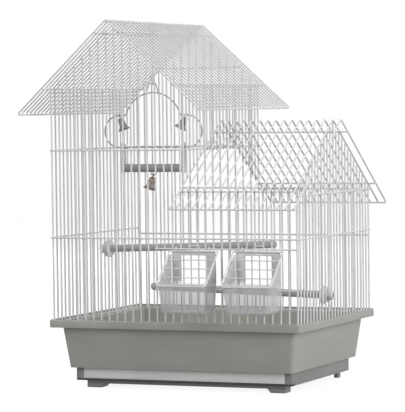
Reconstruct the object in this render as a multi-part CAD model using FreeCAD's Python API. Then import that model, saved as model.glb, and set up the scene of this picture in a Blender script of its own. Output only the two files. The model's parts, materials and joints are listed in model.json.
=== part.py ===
import FreeCAD, Part
import math
import os

# Bird cage: a tall gabled house and a lower one beside it, of painted wire, on a plastic tub with a drawer.
# Millimetres, +Z up, standing on z = 0 with the front towards -Y.

V = FreeCAD.Vector
AXIS_X = V(1, 0, 0)
AXIS_Y = V(0, 1, 0)
AXIS_Z = V(0, 0, 1)
QUARTER_TURN = 90
HALF_TURN = 180
FULL_TURN = 360

# Wire grid: bars stand a half inch apart, and the plan is counted in spaces between bars
wire_dia = 2.5
bar_pitch = 12.7
front_spaces = 30
side_spaces = 24
tall_spaces = 16
paint_film = 0.02

# Clearances that serve several pieces
overrun = 1.0
running_fit = 0.08
loose_fit = 0.3

# Feet and plinth under the tub
foot_height = 6.0
foot_length = 28.0
foot_depth = 22.0
foot_taper = 5.0
back_foot_length = 7.0
back_foot_depth = 12.0
back_foot_taper = 0.8
sill_height = 5.0
plinth_height = 19.5
plinth_inset = 5.0
plinth_front_inset = 12.7
plinth_back_inset = 20.0
plinth_runner = 11.0
plinth_back_wall = 4.0
sill_setback = 8.0
sill_end_inset = 13.3
shelf_thickness = 2.8
shelf_width = 14.0

# Drawer that slides out to the front
drawer_wall = 1.8
drawer_front_thickness = 4.0
drawer_top_gap = 0.6

# Tub and its rolled lip
tub_height = 71.6
tub_wall = 2.5
tub_ledge = 10.0
tub_corner_radius = 5.0
tub_inset_top = 14.7
tub_inset_bottom = 22.5
lip_overhang = 6.5
lip_height = 11.4
lip_thickness = 8.5
lip_skirt = 2.5
lip_corner_radius = 6.0
lip_edge_round = 1.6
rebate_depth = 6.0
rebate_clearance = 0.45
rebate_corner_radius = 2.5

# Crosswires, as heights above the lip
middle_wire_rise = 119.8
back_middle_drop = 9.0
upper_wire_rise = 247.1
gable_wire_rise = 368.0
low_top_rise = 181.0
front_top_rise = 187.3

# Roofs, as heights of the roof wires above the lip
tall_ridge_rise = 435.4
tall_left_eave_rise = 302.1
tall_right_eave_rise = 306.6
tall_overhang = 40.7
tall_end_wire_count = 2
low_ridge_rise = 287.2
low_front_eave_rise = 165.5
low_back_eave_rise = 160.8
low_overhang = 43.8
low_end_wire_count = 1
low_cross_inset = 5.0
near_ridge_share = 0.12
panel_tail = 3.0

# Feeder openings in the front wall, counted in bars from the right
feeder_right_bars = (9, 1)
feeder_spaces = 6
feeder_wire_spaces = 17
feeder_low_rise = 47.4
feeder_top_rise = 105.4
feeder_slips = (3.1, 6.0)
feeder_arch_width = 15.0
feeder_arch_height = 3.0
feeder_arch_dia = 1.6

# Feeder cups
cup_width = 72.0
cup_depth = 52.6
cup_height = 37.5
cup_base_rise = 16.4
cup_wall = 1.6
cup_corner_radius = 7.0
cup_floor_round = 5.5
cup_draft = 3.0
cup_hook_width = 60.0
cup_hook_reach = 1.6
cup_hook_lip = 0.8
window_width = 40.0
window_height = 40.0
window_sill = 2.5

# Hoods over the cups
hood_wire_dia = 2.5
hood_rib_dia = 1.8
hood_ribs = 3
eye_wire_dia = 1.8
eye_spaces = (0.5, 4.5)

# Perches, each held in a side wall by a washer and a knob on a stud
perch_dia = 11.0
perch_length = 270.0
perch_end_round = 4.0
upper_perch_rise = 93.7
lower_perch_rise = 33.4
perch_side_spaces = 2.5
upper_perch_tilt = 1.8
lower_perch_tilt = 1.8
stud_dia = 6.0
stud_socket_depth = 16.0
washer_dia = 26.0
washer_thickness = 7.0
washer_round = 2.5
knob_dia = 14.0
knob_thickness = 8.0
knob_round = 2.0

# Swing, hung from the tall ridge
swing_wire_dia = 2.0
hook_tail = 4.0
hook_ridge_spaces = 1.5
swing_pivot_rise = 343.9
bail_width = 12.0
bail_foot_width = 20.0
bail_height = 13.6
bail_bend = 2.0
bail_foot_share = 0.8
arch_width = 88.0
arch_height = 32.0
shoulder_bend = 2.5
loop_centre = 55.0
loop_radius = 24.0
swing_perch_dia = 12.2
swing_perch_span = 100.0
swing_perch_drop = 30.7
holder_thickness = 2.0
holder_width = 16.0
arc_sector = 36.0

# Bells
bell_ring_dia = 1.2
bell_wall = 0.9
bell_neck = 2.0
bell_neck_dia = 1.4
bell_height = 18.5
bell_mouth_dia = 19.0
low_bell_height = 18.5
low_bell_mouth_dia = 20.5
bell_outline_shares = ((0.28, 0.0), (0.45, 0.12), (0.53, 0.55), (0.69, 0.82), (1.0, 1.0))
left_bell_lean = -20.0
right_bell_lean = 30.0
low_bell_lean = 19.0
clapper_ball_dia = 4.0
clapper_rod_dia = 1.0
clapper_length_share = 0.70
staple_width = 9.0
staple_height = 4.0
staple_dia = 1.6

# Places that follow from the sizes
wire_radius = wire_dia / 2
wire_step = wire_dia + paint_film
mitre_size = 6 * wire_dia
house_width = front_spaces * bar_pitch
house_depth = side_spaces * bar_pitch
low_spaces = front_spaces - tall_spaces
x_right = house_width / 2
x_left = -x_right
y_back = house_depth / 2
y_front = -y_back
x_mid = x_left + tall_spaces * bar_pitch
x_ridge = (x_left + x_mid) / 2
plinth_bottom_z = foot_height + sill_height
tub_bottom_z = plinth_bottom_z + plinth_height
lip_top_z = tub_bottom_z + tub_height
lip_bottom_z = lip_top_z - lip_height
lip_half_x = x_right + lip_overhang
lip_half_y = y_back + lip_overhang
bar_foot_z = lip_top_z - rebate_depth
foot_wire_z = bar_foot_z + wire_radius + paint_film
upper_wire_z = lip_top_z + upper_wire_rise


class Roof:
    """A gabled roof of bent wires: two slopes that fall from a ridge to the eaves."""

    def __init__(self, wall_offset, overhang, ridge_rise, eave_rises, cross_inset, ridge_wire):
        self.wall_offset = wall_offset
        self.half_span = wall_offset + overhang
        self.ridge_z = lip_top_z + ridge_rise
        self.falls = [ridge_rise - rise for rise in eave_rises]
        eave_offset = self.half_span - wire_radius
        offsets = (near_ridge_share * self.half_span, wall_offset - cross_inset, eave_offset)
        self.cross_offsets = [side * offset for offset in offsets for side in (-1, 1)]
        if ridge_wire:
            self.cross_offsets.append(0)

    def fall(self, offset):
        """How far the slope falls on one side of the ridge, from the ridge to the eave."""
        return self.falls[1] if offset > 0 else self.falls[0]

    def level_share(self, offset):
        """Share of a wire's length that runs level, on one side of the ridge."""
        return self.half_span / math.hypot(self.half_span, self.fall(offset))

    def wire_z(self, offset):
        """Height of the roof wires' centres at an offset from the ridge."""
        return self.ridge_z - self.fall(offset) * abs(offset) / self.half_span

    def cross_z(self, offset):
        """Height of the centre of a wire that lies under the roof wires, along the ridge."""
        sides = (offset,) if offset else (-1, 1)
        drop = max(wire_step / self.level_share(side) for side in sides)
        return self.wire_z(offset) - drop

    def bar_top(self, offset):
        """Height where an upright bar ends, just under the roof wire or crosswire above it."""
        outer_edge = offset + math.copysign(wire_radius, offset)
        top = self.wire_z(outer_edge) - wire_radius / self.level_share(offset) - paint_film
        for cross in self.cross_offsets:
            if abs(cross - offset) < wire_step:
                top = min(top, self.cross_z(cross) - wire_radius - paint_film)
        return top


tall_roof = Roof(
    (x_mid - x_left) / 2,
    tall_overhang,
    tall_ridge_rise,
    (tall_left_eave_rise, tall_right_eave_rise),
    0,
    True,
)
low_roof = Roof(
    y_back,
    low_overhang,
    low_ridge_rise,
    (low_front_eave_rise, low_back_eave_rise),
    low_cross_inset,
    False,
)


def rod(start, end, dia):
    """A straight round rod between two points."""
    run = end - start
    return Part.makeCylinder(dia / 2, run.Length, start, run)


def bend(start, centre, axis, turn, dia):
    """A bent wire, in sectors: its round section at start turned about an axis through centre."""
    sectors = math.ceil(abs(turn) / arc_sector)
    pieces = []
    for sector in range(sectors):
        spin = FreeCAD.Rotation(axis, turn * sector / sectors)
        point = centre + spin.multVec(start - centre)
        section = Part.makeCircle(dia / 2, point, axis.cross(point - centre))
        disc = Part.Face(Part.Wire(section))
        pieces.append(disc.revolve(centre, axis, turn / sectors))
    return pieces


def block(low, high):
    """A box between two corners."""
    size = high - low
    return Part.makeBox(size.x, size.y, size.z, low)


def rounded_outline(half_x, half_y, radius, z):
    """A rectangle with round corners, centred on the plan, as a closed wire."""
    edges = []
    corners = ((1, 1), (-1, 1), (-1, -1), (1, -1))
    for turn, (side_x, side_y) in enumerate(corners):
        centre = V(side_x * (half_x - radius), side_y * (half_y - radius), z)
        start = math.radians(QUARTER_TURN * turn)
        circle = Part.Circle(centre, AXIS_Z, radius)
        edges.append(Part.Arc(circle, start, start + math.pi / 2).toShape())
    joined = []
    for turn in range(len(edges)):
        following = edges[(turn + 1) % len(edges)]
        joined.append(edges[turn])
        joined.append(Part.makeLine(edges[turn].lastVertex().Point, following.firstVertex().Point))
    return Part.Wire(joined)


def prism(half_x, half_y, radius, low_z, high_z):
    """An upright block with rounded corners, centred on the plan."""
    return Part.Face(rounded_outline(half_x, half_y, radius, low_z)).extrude(V(0, 0, high_z - low_z))


def edges_at(shape, test):
    """The edges of a shape whose middle passes a test."""
    return [edge for edge in shape.Edges if test(edge.CenterOfMass)]


# Base
tub_bottom_half_x = lip_half_x - tub_inset_bottom
tub_bottom_half_y = lip_half_y - tub_inset_bottom
plinth_half_x = tub_bottom_half_x - plinth_inset
plinth_front_y = plinth_front_inset - tub_bottom_half_y
plinth_back_y = tub_bottom_half_y - plinth_back_inset
bay_half_x = plinth_half_x - plinth_runner
bay_back_y = plinth_back_y - plinth_back_wall
shelf_top_z = plinth_bottom_z + shelf_thickness
sill_half_x = plinth_half_x - sill_end_inset
sill_front_y = plinth_front_y + sill_setback


def base_tub():
    """The tapered tub: an open ledge at the bottom, and a lip with a rebate that the bars stand in."""
    top_x = lip_half_x - tub_inset_top
    top_y = lip_half_y - tub_inset_top
    low = rounded_outline(tub_bottom_half_x, tub_bottom_half_y, tub_corner_radius, tub_bottom_z)
    high = rounded_outline(top_x, top_y, tub_corner_radius, lip_bottom_z)
    body = Part.makeLoft([low, high], True, True)
    column = prism(top_x, top_y, tub_corner_radius, lip_bottom_z, lip_top_z)
    rim = prism(lip_half_x, lip_half_y, lip_corner_radius, lip_bottom_z, lip_top_z)
    outer_top = edges_at(rim, lambda middle: middle.z > lip_top_z - lip_edge_round)
    rim = rim.makeFillet(lip_edge_round, outer_top)
    under = prism(
        lip_half_x - lip_skirt,
        lip_half_y - lip_skirt,
        lip_corner_radius - lip_skirt,
        lip_bottom_z - overrun,
        lip_top_z - lip_thickness,
    )
    tub = body.fuse([column, rim.cut(under)])
    inner_radius = tub_corner_radius - tub_wall
    floor_z = tub_bottom_z + tub_wall
    inner_low = rounded_outline(
        tub_bottom_half_x - tub_wall, tub_bottom_half_y - tub_wall, inner_radius, floor_z
    )
    inner_high = rounded_outline(top_x - tub_wall, top_y - tub_wall, inner_radius, lip_bottom_z)
    hollow = Part.makeLoft([inner_low, inner_high], True, True)
    mouth = prism(top_x - tub_wall, top_y - tub_wall, inner_radius, lip_bottom_z, lip_top_z + overrun)
    drop = prism(
        tub_bottom_half_x - tub_wall - tub_ledge,
        tub_bottom_half_y - tub_wall - tub_ledge,
        inner_radius,
        tub_bottom_z - overrun,
        floor_z + overrun,
    )
    reach = wire_step + wire_radius + rebate_clearance
    rebate = prism(
        x_right + reach, y_back + reach, rebate_corner_radius, bar_foot_z, lip_top_z + overrun
    )
    return tub.cut([hollow, mouth, drop, rebate]).removeSplitter()


def plinth():
    """The frame under the tub: runners and shelves for the drawer, and a front sill on the feet."""
    frame = block(
        V(-plinth_half_x, plinth_front_y, plinth_bottom_z),
        V(plinth_half_x, plinth_back_y, tub_bottom_z),
    )
    bay = block(
        V(-bay_half_x, plinth_front_y - overrun, shelf_top_z),
        V(bay_half_x, bay_back_y, tub_bottom_z + overrun),
    )
    inner_half_x = bay_half_x - shelf_width
    floor_opening = block(
        V(-inner_half_x, sill_front_y + foot_depth, plinth_bottom_z - overrun),
        V(inner_half_x, plinth_back_y - foot_depth, shelf_top_z + overrun),
    )
    front_sill = block(
        V(-sill_half_x, sill_front_y, foot_height),
        V(sill_half_x, sill_front_y + foot_depth, plinth_bottom_z),
    )
    return frame.cut([bay, floor_opening]).fuse(front_sill).removeSplitter()


def foot(outer_x, inner_x, ys, taper, top_z):
    """One foot with an upright outer end, and an inner end that slopes in towards the floor."""
    slope = math.copysign(taper, outer_x)
    profile = [
        V(outer_x, ys[0], 0),
        V(outer_x, ys[0], top_z),
        V(inner_x, ys[0], top_z),
        V(inner_x + slope, ys[0], 0),
    ]
    return Part.Face(Part.makePolygon(profile + profile[:1])).extrude(V(0, ys[1] - ys[0], 0))


def feet():
    """Two long feet at the ends of the front sill, and two small ones under the plinth's back."""
    pads = []
    for side in (-1, 1):
        outer_x = side * sill_half_x
        front = (sill_front_y, sill_front_y + foot_depth)
        pads.append(foot(outer_x, side * (sill_half_x - foot_length), front, foot_taper, foot_height))
        back = (plinth_back_y - back_foot_depth, plinth_back_y)
        inner_x = side * (sill_half_x - back_foot_length)
        pads.append(foot(outer_x, inner_x, back, back_foot_taper, plinth_bottom_z))
    return pads


def drawer():
    """The shallow tray, with a thicker front that fills the opening."""
    half_x = bay_half_x - loose_fit
    back_y = bay_back_y - loose_fit
    low_z = shelf_top_z + loose_fit
    tray = block(V(-half_x, plinth_front_y, low_z), V(half_x, back_y, tub_bottom_z - drawer_top_gap))
    hollow = block(
        V(drawer_wall - half_x, plinth_front_y + drawer_front_thickness, low_z + drawer_wall),
        V(half_x - drawer_wall, back_y - drawer_wall, tub_bottom_z),
    )
    return tray.cut(hollow)


# Wire walls
outside_front_y = y_front - wire_step
outside_back_y = y_back + wire_step
outside_left_x = x_left - wire_step
outside_right_x = x_right + wire_step
low_top_z = lip_top_z + low_top_rise
feeder_low_z = lip_top_z + feeder_low_rise
feeder_top_z = lip_top_z + feeder_top_rise


def upright(x, y, low_z, high_z):
    """One upright bar."""
    return rod(V(x, y, low_z), V(x, y, high_z), wire_dia)


def along_x(start, end, y, z):
    """A crosswire along the front or back, past the bars at its ends."""
    return rod(V(start - wire_radius, y, z), V(end + wire_radius, y, z), wire_dia)


def along_y(x, z):
    """A crosswire along a side wall, past the bars at its ends."""
    return rod(V(x, y_front - wire_radius, z), V(x, y_back + wire_radius, z), wire_dia)


def wall_bar(index, y):
    """Place and top of a front or back bar, counted from the right."""
    x = x_right - index * bar_pitch
    if index >= low_spaces:
        return x, tall_roof.bar_top(x - x_ridge)
    return x, low_roof.bar_top(y)


def feeder_centre(right_bar):
    """Middle of a feeder opening, from the bar at its right edge."""
    return x_right - (right_bar + feeder_spaces / 2) * bar_pitch


def feeder_arch(centre):
    """The small wire arch that stands on the feeder's top wire."""
    low_z = feeder_top_z + wire_radius + paint_film
    high_z = low_z + feeder_arch_height
    half = feeder_arch_width / 2
    beam_z = high_z + feeder_arch_dia / 2 + paint_film
    wires = []
    for x in (centre - half, centre + half):
        wires.append(rod(V(x, outside_front_y, low_z), V(x, outside_front_y, high_z), feeder_arch_dia))
    reach = half + feeder_arch_dia / 2
    ends = [V(x, outside_front_y, beam_z) for x in (centre - reach, centre + reach)]
    wires.append(rod(ends[0], ends[1], feeder_arch_dia))
    return wires


def front_panel():
    """The front wall, with two openings for the feeders."""
    wires = []
    for index in range(front_spaces + 1):
        x, top = wall_bar(index, y_front)
        in_feeder = any(0 < index - right < feeder_spaces for right in feeder_right_bars)
        if in_feeder:
            wires.append(upright(x, y_front, bar_foot_z, feeder_low_z))
            wires.append(upright(x, y_front, feeder_top_z - wire_radius, top))
        else:
            wires.append(upright(x, y_front, bar_foot_z, top))
    feeder_end_x = x_right - feeder_wire_spaces * bar_pitch
    for start, end, z in (
        (x_left, x_right, foot_wire_z),
        (feeder_end_x, x_right, feeder_low_z),
        (feeder_end_x, x_right, feeder_top_z),
        (x_left, x_right, lip_top_z + middle_wire_rise),
        (x_mid, x_right, lip_top_z + front_top_rise),
        (x_left, x_mid, upper_wire_z),
    ):
        wires.append(along_x(start, end, outside_front_y, z))
    for right, slip in zip(feeder_right_bars, feeder_slips):
        wires += feeder_arch(feeder_centre(right) - slip)
    return wires


def back_panel():
    """The back wall, with one more crosswire in its gable."""
    wires = []
    for index in range(front_spaces + 1):
        x, top = wall_bar(index, y_back)
        wires.append(upright(x, y_back, bar_foot_z, top))
    gable_z = lip_top_z + gable_wire_rise
    gable_ends = []
    for side in (-1, 1):
        roof_reach = tall_roof.half_span * (tall_roof.ridge_z - gable_z) / tall_roof.fall(side)
        gable_ends.append(x_ridge + side * (roof_reach - wire_dia / tall_roof.level_share(side)))
    for start, end, z in (
        (x_left, x_right, foot_wire_z),
        (x_left, x_right, lip_top_z + middle_wire_rise - back_middle_drop),
        (x_mid, x_right, low_top_z),
        (x_left, x_mid, upper_wire_z),
        (gable_ends[0], gable_ends[1], gable_z),
    ):
        wires.append(along_x(start, end, outside_back_y, z))
    return wires


def side_places():
    """The side bars' places between the corner bars."""
    return [y_front + step * bar_pitch for step in range(1, side_spaces)]


def left_panel():
    """The tall house's left wall."""
    top = tall_roof.bar_top(-tall_roof.wall_offset)
    wires = [upright(x_left, y, bar_foot_z, top) for y in side_places()]
    for z in (foot_wire_z, lip_top_z + middle_wire_rise, upper_wire_z):
        wires.append(along_y(outside_left_x, z))
    return wires


def right_panel():
    """The low house's right wall, with its gable."""
    wires = [upright(x_right, y, bar_foot_z, low_roof.bar_top(y)) for y in side_places()]
    for z in (foot_wire_z, lip_top_z + middle_wire_rise, low_top_z):
        wires.append(along_y(outside_right_x, z))
    return wires


def upper_panel():
    """The tall house's right wall, above the low roof."""
    top = tall_roof.bar_top(tall_roof.wall_offset)
    wires = []
    for y in side_places():
        foot = min(low_roof.wire_z(y), upper_wire_z) - panel_tail
        wires.append(upright(x_mid, y, foot, top))
    wires.append(along_y(x_mid - wire_step, upper_wire_z))
    return wires


def slope_wire(apex, foot):
    """One straight half of a bent roof wire, mitred where it meets the other half at the ridge."""
    run = foot - apex
    lead = run * (wire_dia / run.Length)
    wire = rod(apex - lead, foot, wire_dia)
    level = V(run.x, run.y, 0)
    level.normalize()
    half = V(mitre_size, mitre_size, mitre_size) * 0.5
    beyond = block(apex - half, apex + half)
    beyond.translate(level * (-mitre_size / 2))
    return wire.cut(beyond)


def roof_wires(roof, places, cross_start, cross_end, point):
    """A roof's bent wires at places along the ridge, and the straight wires that lie under them."""
    wires = []
    for place in places:
        for side in (-1, 1):
            apex = point(0, place, roof.ridge_z)
            eave = point(side * roof.half_span, place, roof.ridge_z - roof.fall(side))
            wires.append(slope_wire(apex, eave))
    for offset in roof.cross_offsets:
        z = roof.cross_z(offset)
        wires.append(rod(point(offset, cross_start, z), point(offset, cross_end, z), wire_dia))
    return wires


def tall_roof_panel():
    """The tall roof, with its ridge from front to back."""
    first = y_front - tall_end_wire_count * bar_pitch
    count = side_spaces + 2 * tall_end_wire_count + 1
    places = [first + step * bar_pitch for step in range(count)]
    start = places[0] - wire_radius
    end = places[-1] + wire_radius
    return roof_wires(tall_roof, places, start, end, lambda offset, along, z: V(x_ridge + offset, along, z))


def low_roof_panel():
    """The low roof, with its ridge across, from the tall house to the right."""
    places = [x_mid + wire_step]
    for step in range(-low_end_wire_count, low_spaces):
        places.append(x_right - step * bar_pitch)
    start = x_mid + wire_radius + paint_film
    end = x_right + low_end_wire_count * bar_pitch + wire_radius
    return roof_wires(low_roof, places, start, end, lambda offset, along, z: V(along, offset, z))


# Feeders
cup_back_y = outside_front_y - wire_radius - loose_fit
cup_front_y = cup_back_y - cup_depth
cup_low_z = lip_top_z + cup_base_rise
cup_rim_z = cup_low_z + cup_height
hood_pivot = V(0, outside_front_y, feeder_top_z)
hood_foot = V(0, cup_front_y + cup_wall / 2, cup_rim_z + hood_wire_dia / 2 + loose_fit)
hood_run = hood_foot - hood_pivot
hood_length = hood_run.Length
hood_down = hood_run * (1 / hood_length)


def cup_form(centre, grow):
    """The cup's tapered form with a round floor edge, grown by a wall (shrunk if negative)."""
    outlines = []
    for draft, z in ((cup_draft, cup_low_z - grow), (0, cup_rim_z)):
        front_y = cup_front_y + draft - grow
        back_y = cup_back_y + grow
        half_x = cup_width / 2 - draft + grow
        outline = rounded_outline(half_x, (back_y - front_y) / 2, cup_corner_radius + grow, z)
        outline.translate(V(centre, (front_y + back_y) / 2, 0))
        outlines.append(outline)
    form = Part.makeLoft(outlines, True, True)
    floor_edges = edges_at(form, lambda middle: middle.z < cup_low_z - grow + paint_film)
    return form.makeFillet(cup_floor_round + grow, floor_edges)


def feeder_cup(centre):
    """A cup with a windowed back panel, sloping cheeks under the hood, and a hook over the low wire."""
    half = cup_width / 2
    bowl = cup_form(centre, 0).cut(cup_form(centre, -cup_wall))

    clear = (hood_wire_dia / 2 + loose_fit) / abs(hood_down.y)
    steep = hood_down.z / hood_down.y

    def cheek_z(y):
        return hood_pivot.z + (y - hood_pivot.y) * steep - clear

    cheek_front_y = cup_back_y - (cheek_z(cup_back_y) - cup_rim_z) / steep
    panel_front_y = cup_back_y - cup_wall
    profile = [
        V(centre - half, cup_back_y, cup_rim_z),
        V(centre - half, cup_back_y, cheek_z(cup_back_y)),
        V(centre - half, cheek_front_y, cup_rim_z),
    ]
    wedge = Part.Face(Part.makePolygon(profile + profile[:1])).extrude(V(cup_width, 0, 0))
    wedge_hollow = block(
        V(centre - half + cup_wall, cup_front_y - overrun, cup_rim_z - overrun),
        V(centre + half - cup_wall, panel_front_y, hood_pivot.z),
    )
    outer_corners = Part.Face(
        rounded_outline(half, cup_depth / 2, cup_corner_radius, cup_rim_z)
    ).extrude(V(0, 0, hood_pivot.z - cup_rim_z))
    outer_corners.translate(V(centre, (cup_front_y + cup_back_y) / 2, 0))
    cheeks = wedge.cut(wedge_hollow).common(outer_corners)
    window = block(
        V(centre - window_width / 2, panel_front_y - overrun, cup_rim_z + window_sill),
        V(centre + window_width / 2, cup_back_y + overrun, cup_rim_z + window_sill + window_height),
    )
    shelf_z = feeder_low_z + wire_radius + paint_film
    lip_y = outside_front_y + wire_radius + running_fit
    hook_half = cup_hook_width / 2
    shelf = block(
        V(centre - hook_half, cup_back_y - cup_wall / 2, shelf_z),
        V(centre + hook_half, lip_y + cup_hook_reach, shelf_z + cup_wall),
    )
    catch = block(
        V(centre - hook_half, lip_y, shelf_z - cup_hook_lip),
        V(centre + hook_half, lip_y + cup_hook_reach, shelf_z),
    )
    return bowl.fuse([cheeks.cut(window), shelf, catch]).removeSplitter()


def hood(centre, opening_left_x):
    """A wire flap on eyes round the feeder's top wire, resting on the cup's front rim."""
    half = cup_width / 2 + loose_fit + hood_wire_dia / 2
    eye_radius = wire_radius + running_fit + eye_wire_dia / 2
    top_reach = eye_radius + eye_wire_dia / 2 + hood_wire_dia / 2 + paint_film
    side_start = top_reach + hood_wire_dia / 2 + paint_film
    side_end = hood_length - hood_wire_dia / 2 - paint_film

    def at(x, reach):
        return V(centre + x, hood_pivot.y, hood_pivot.z) + hood_down * reach

    wires = []
    for spaces in eye_spaces:
        eye = V(opening_left_x + spaces * bar_pitch, hood_pivot.y, hood_pivot.z)
        wires.append(Part.makeTorus(eye_radius, eye_wire_dia / 2, eye, AXIS_X))
    for side in (-1, 1):
        wires.append(rod(at(side * half, side_start), at(side * half, side_end), hood_wire_dia))
    reach_x = half + hood_wire_dia / 2
    for reach in (top_reach, hood_length):
        wires.append(rod(at(-reach_x, reach), at(reach_x, reach), hood_wire_dia))
    rib_x = half - hood_wire_dia / 2 - paint_film
    for rib in range(1, hood_ribs + 1):
        reach = top_reach + (hood_length - top_reach) * rib / (hood_ribs + 1)
        wires.append(rod(at(-rib_x, reach), at(rib_x, reach), hood_rib_dia))
    return wires


# Perches
def perch_set(side, y, z, tilt):
    """A perch with its stud, washer and knob, on the left (-1) or right (1) wall, tilted up."""
    wall = V(side * x_right, y, z)
    inward = V(-side, 0, 0)
    tilt_share = math.sin(math.radians(tilt))
    inner_face = wall + inward * (wire_radius + washer_dia / 2 * tilt_share)
    outer_face = wall - inward * (wire_radius + knob_dia / 2 * tilt_share)
    perch_start = inner_face + inward * washer_thickness
    stud_start = outer_face - inward * knob_thickness
    stud_end = perch_start + inward * stud_socket_depth
    bore_dia = stud_dia + 2 * running_fit
    bore = rod(stud_start - inward * overrun, stud_end, bore_dia)
    perch_end = perch_start + inward * perch_length
    perch = rod(perch_start, perch_end, perch_dia)
    tip = edges_at(perch, lambda middle: abs(middle.x - perch_end.x) < perch_end_round)
    perch = perch.makeFillet(perch_end_round, tip).cut(bore)
    washer = rod(inner_face, perch_start, washer_dia)
    washer_edge = edges_at(washer, lambda middle: abs(middle.x - perch_start.x) < washer_round)
    washer = washer.makeFillet(washer_round, washer_edge).cut(bore)
    knob = rod(outer_face, stud_start, knob_dia)
    knob_edge = edges_at(knob, lambda middle: abs(middle.x - stud_start.x) < knob_round)
    knob = knob.makeFillet(knob_round, knob_edge).cut(bore)
    stud = rod(stud_start, stud_end, stud_dia)
    pieces = {"perch": perch, "stud": stud, "washer": washer, "knob": knob}
    for piece in pieces.values():
        piece.rotate(wall, AXIS_Y, side * tilt)
    return pieces


# Swing
hook_radius = swing_wire_dia + running_fit
ridge_hook_radius = (wire_dia + swing_wire_dia) / 2 + running_fit
hook_y = -hook_ridge_spaces * bar_pitch
swing_y = hook_y - hook_radius
swing_x = x_ridge + ridge_hook_radius
pivot_z = lip_top_z + swing_pivot_rise
arch_top_z = pivot_z - bail_height
arch_radius = ((arch_width / 2) ** 2 + arch_height ** 2) / (2 * arch_height)
arch_centre_z = arch_top_z - arch_radius
arch_turn = math.asin(arch_width / 2 / arch_radius)
arch_end_z = arch_top_z - arch_height
shoulder_z = arch_end_z - shoulder_bend * (1 - math.cos(arch_turn))
shoulder_x = arch_width / 2 + shoulder_bend * math.sin(arch_turn)
loop_z = shoulder_z - loop_radius
low_wire_z = loop_z - loop_radius
swing_perch_z = low_wire_z - swing_perch_drop


def swing_point(x, z):
    """A point in the swing's plane, from its middle."""
    return V(swing_x + x, swing_y, z)


def swing_hanger():
    """The wire that hooks over the ridge wire and holds the swing's bail in its lower hook."""
    ridge_z = tall_roof.cross_z(0)
    top_centre = V(x_ridge, hook_y, ridge_z)
    shank_top = V(swing_x, hook_y, ridge_z)
    tail_top = V(x_ridge - ridge_hook_radius, hook_y, ridge_z)
    low_centre = swing_point(0, pivot_z)
    shank_low = V(swing_x, hook_y, pivot_z)
    tail_low = V(swing_x, swing_y - hook_radius, pivot_z)
    rise = V(0, 0, hook_tail)
    wires = bend(shank_top, top_centre, -AXIS_Y, HALF_TURN, swing_wire_dia)
    wires.append(rod(tail_top, tail_top - rise, swing_wire_dia))
    wires.append(rod(shank_top, shank_low, swing_wire_dia))
    wires += bend(shank_low, low_centre, -AXIS_X, HALF_TURN, swing_wire_dia)
    wires.append(rod(tail_low, tail_low + rise, swing_wire_dia))
    return wires


def swing_frame():
    """The swing's wire: bail, arch, shoulders, side loops and the straight wire below."""
    wires = []
    turn = math.degrees(arch_turn)
    arch_start = swing_point(-arch_width / 2, arch_end_z)
    wires += bend(arch_start, swing_point(0, arch_centre_z), AXIS_Y, 2 * turn, swing_wire_dia)
    half = bail_width / 2
    foot_x = bail_foot_width / 2
    arch_reach = arch_radius + bail_foot_share * swing_wire_dia
    foot_z = arch_centre_z + math.sqrt(arch_reach ** 2 - foot_x ** 2)
    bail_ends = [swing_point(x, pivot_z) for x in (bail_bend - half, half - bail_bend)]
    wires.append(rod(bail_ends[0], bail_ends[1], swing_wire_dia))
    for side in (-1, 1):
        bail_start = swing_point(side * (half - bail_bend), pivot_z)
        bail_centre = swing_point(side * (half - bail_bend), pivot_z - bail_bend)
        lean = math.degrees(math.atan2(foot_x - half, pivot_z - foot_z))
        wires += bend(bail_start, bail_centre, AXIS_Y * side, QUARTER_TURN - lean, swing_wire_dia)
        spin = FreeCAD.Rotation(AXIS_Y * side, QUARTER_TURN - lean)
        leg_start = bail_centre + spin.multVec(bail_start - bail_centre)
        wires.append(rod(leg_start, swing_point(side * foot_x, foot_z), swing_wire_dia))
        arch_end = swing_point(side * arch_width / 2, arch_end_z)
        corner = swing_point(side * shoulder_x, shoulder_z + shoulder_bend)
        wires += bend(arch_end, corner, -AXIS_Y * side, turn, swing_wire_dia)
        shoulder = swing_point(side * shoulder_x, shoulder_z)
        loop_top = swing_point(side * loop_centre, shoulder_z)
        wires.append(rod(shoulder, loop_top, swing_wire_dia))
        loop_middle = swing_point(side * loop_centre, loop_z)
        wires += bend(loop_top, loop_middle, AXIS_Y * side, HALF_TURN, swing_wire_dia)
    low_ends = [swing_point(x, low_wire_z) for x in (-loop_centre, loop_centre)]
    wires.append(rod(low_ends[0], low_ends[1], swing_wire_dia))
    return wires


def swing_holders():
    """Two straps, threaded on the swing's straight wire, that hold the ends of its perch."""
    straps = []
    half = swing_perch_span / 2
    for start_x in (-half, half - holder_thickness):
        top = swing_point(start_x, low_wire_z)
        low = swing_point(start_x, swing_perch_z)
        thickness = V(holder_thickness, 0, 0)
        strap = block(low - V(0, holder_width / 2, 0), top + V(holder_thickness, holder_width / 2, 0))
        ends = [rod(end, end + thickness, holder_width) for end in (top, low)]
        hole = rod(top - thickness, top + thickness * 2, swing_wire_dia + 2 * running_fit)
        straps.append(strap.fuse(ends).cut(hole).removeSplitter())
    return straps


def swing_perch():
    """The swing's thick perch, between the straps."""
    half = swing_perch_span / 2 - holder_thickness
    return rod(swing_point(-half, swing_perch_z), swing_point(half, swing_perch_z), swing_perch_dia)


# Bells
def bell_crown_drop(pin_dia):
    """How far below its pin a bell's crown lies."""
    return bell_ring_radius(pin_dia) + bell_neck


def bell_ring_radius(pin_dia):
    """Radius of a bell's ring, at the middle of its wire, round a pin."""
    return (pin_dia + bell_ring_dia) / 2 + running_fit


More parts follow.
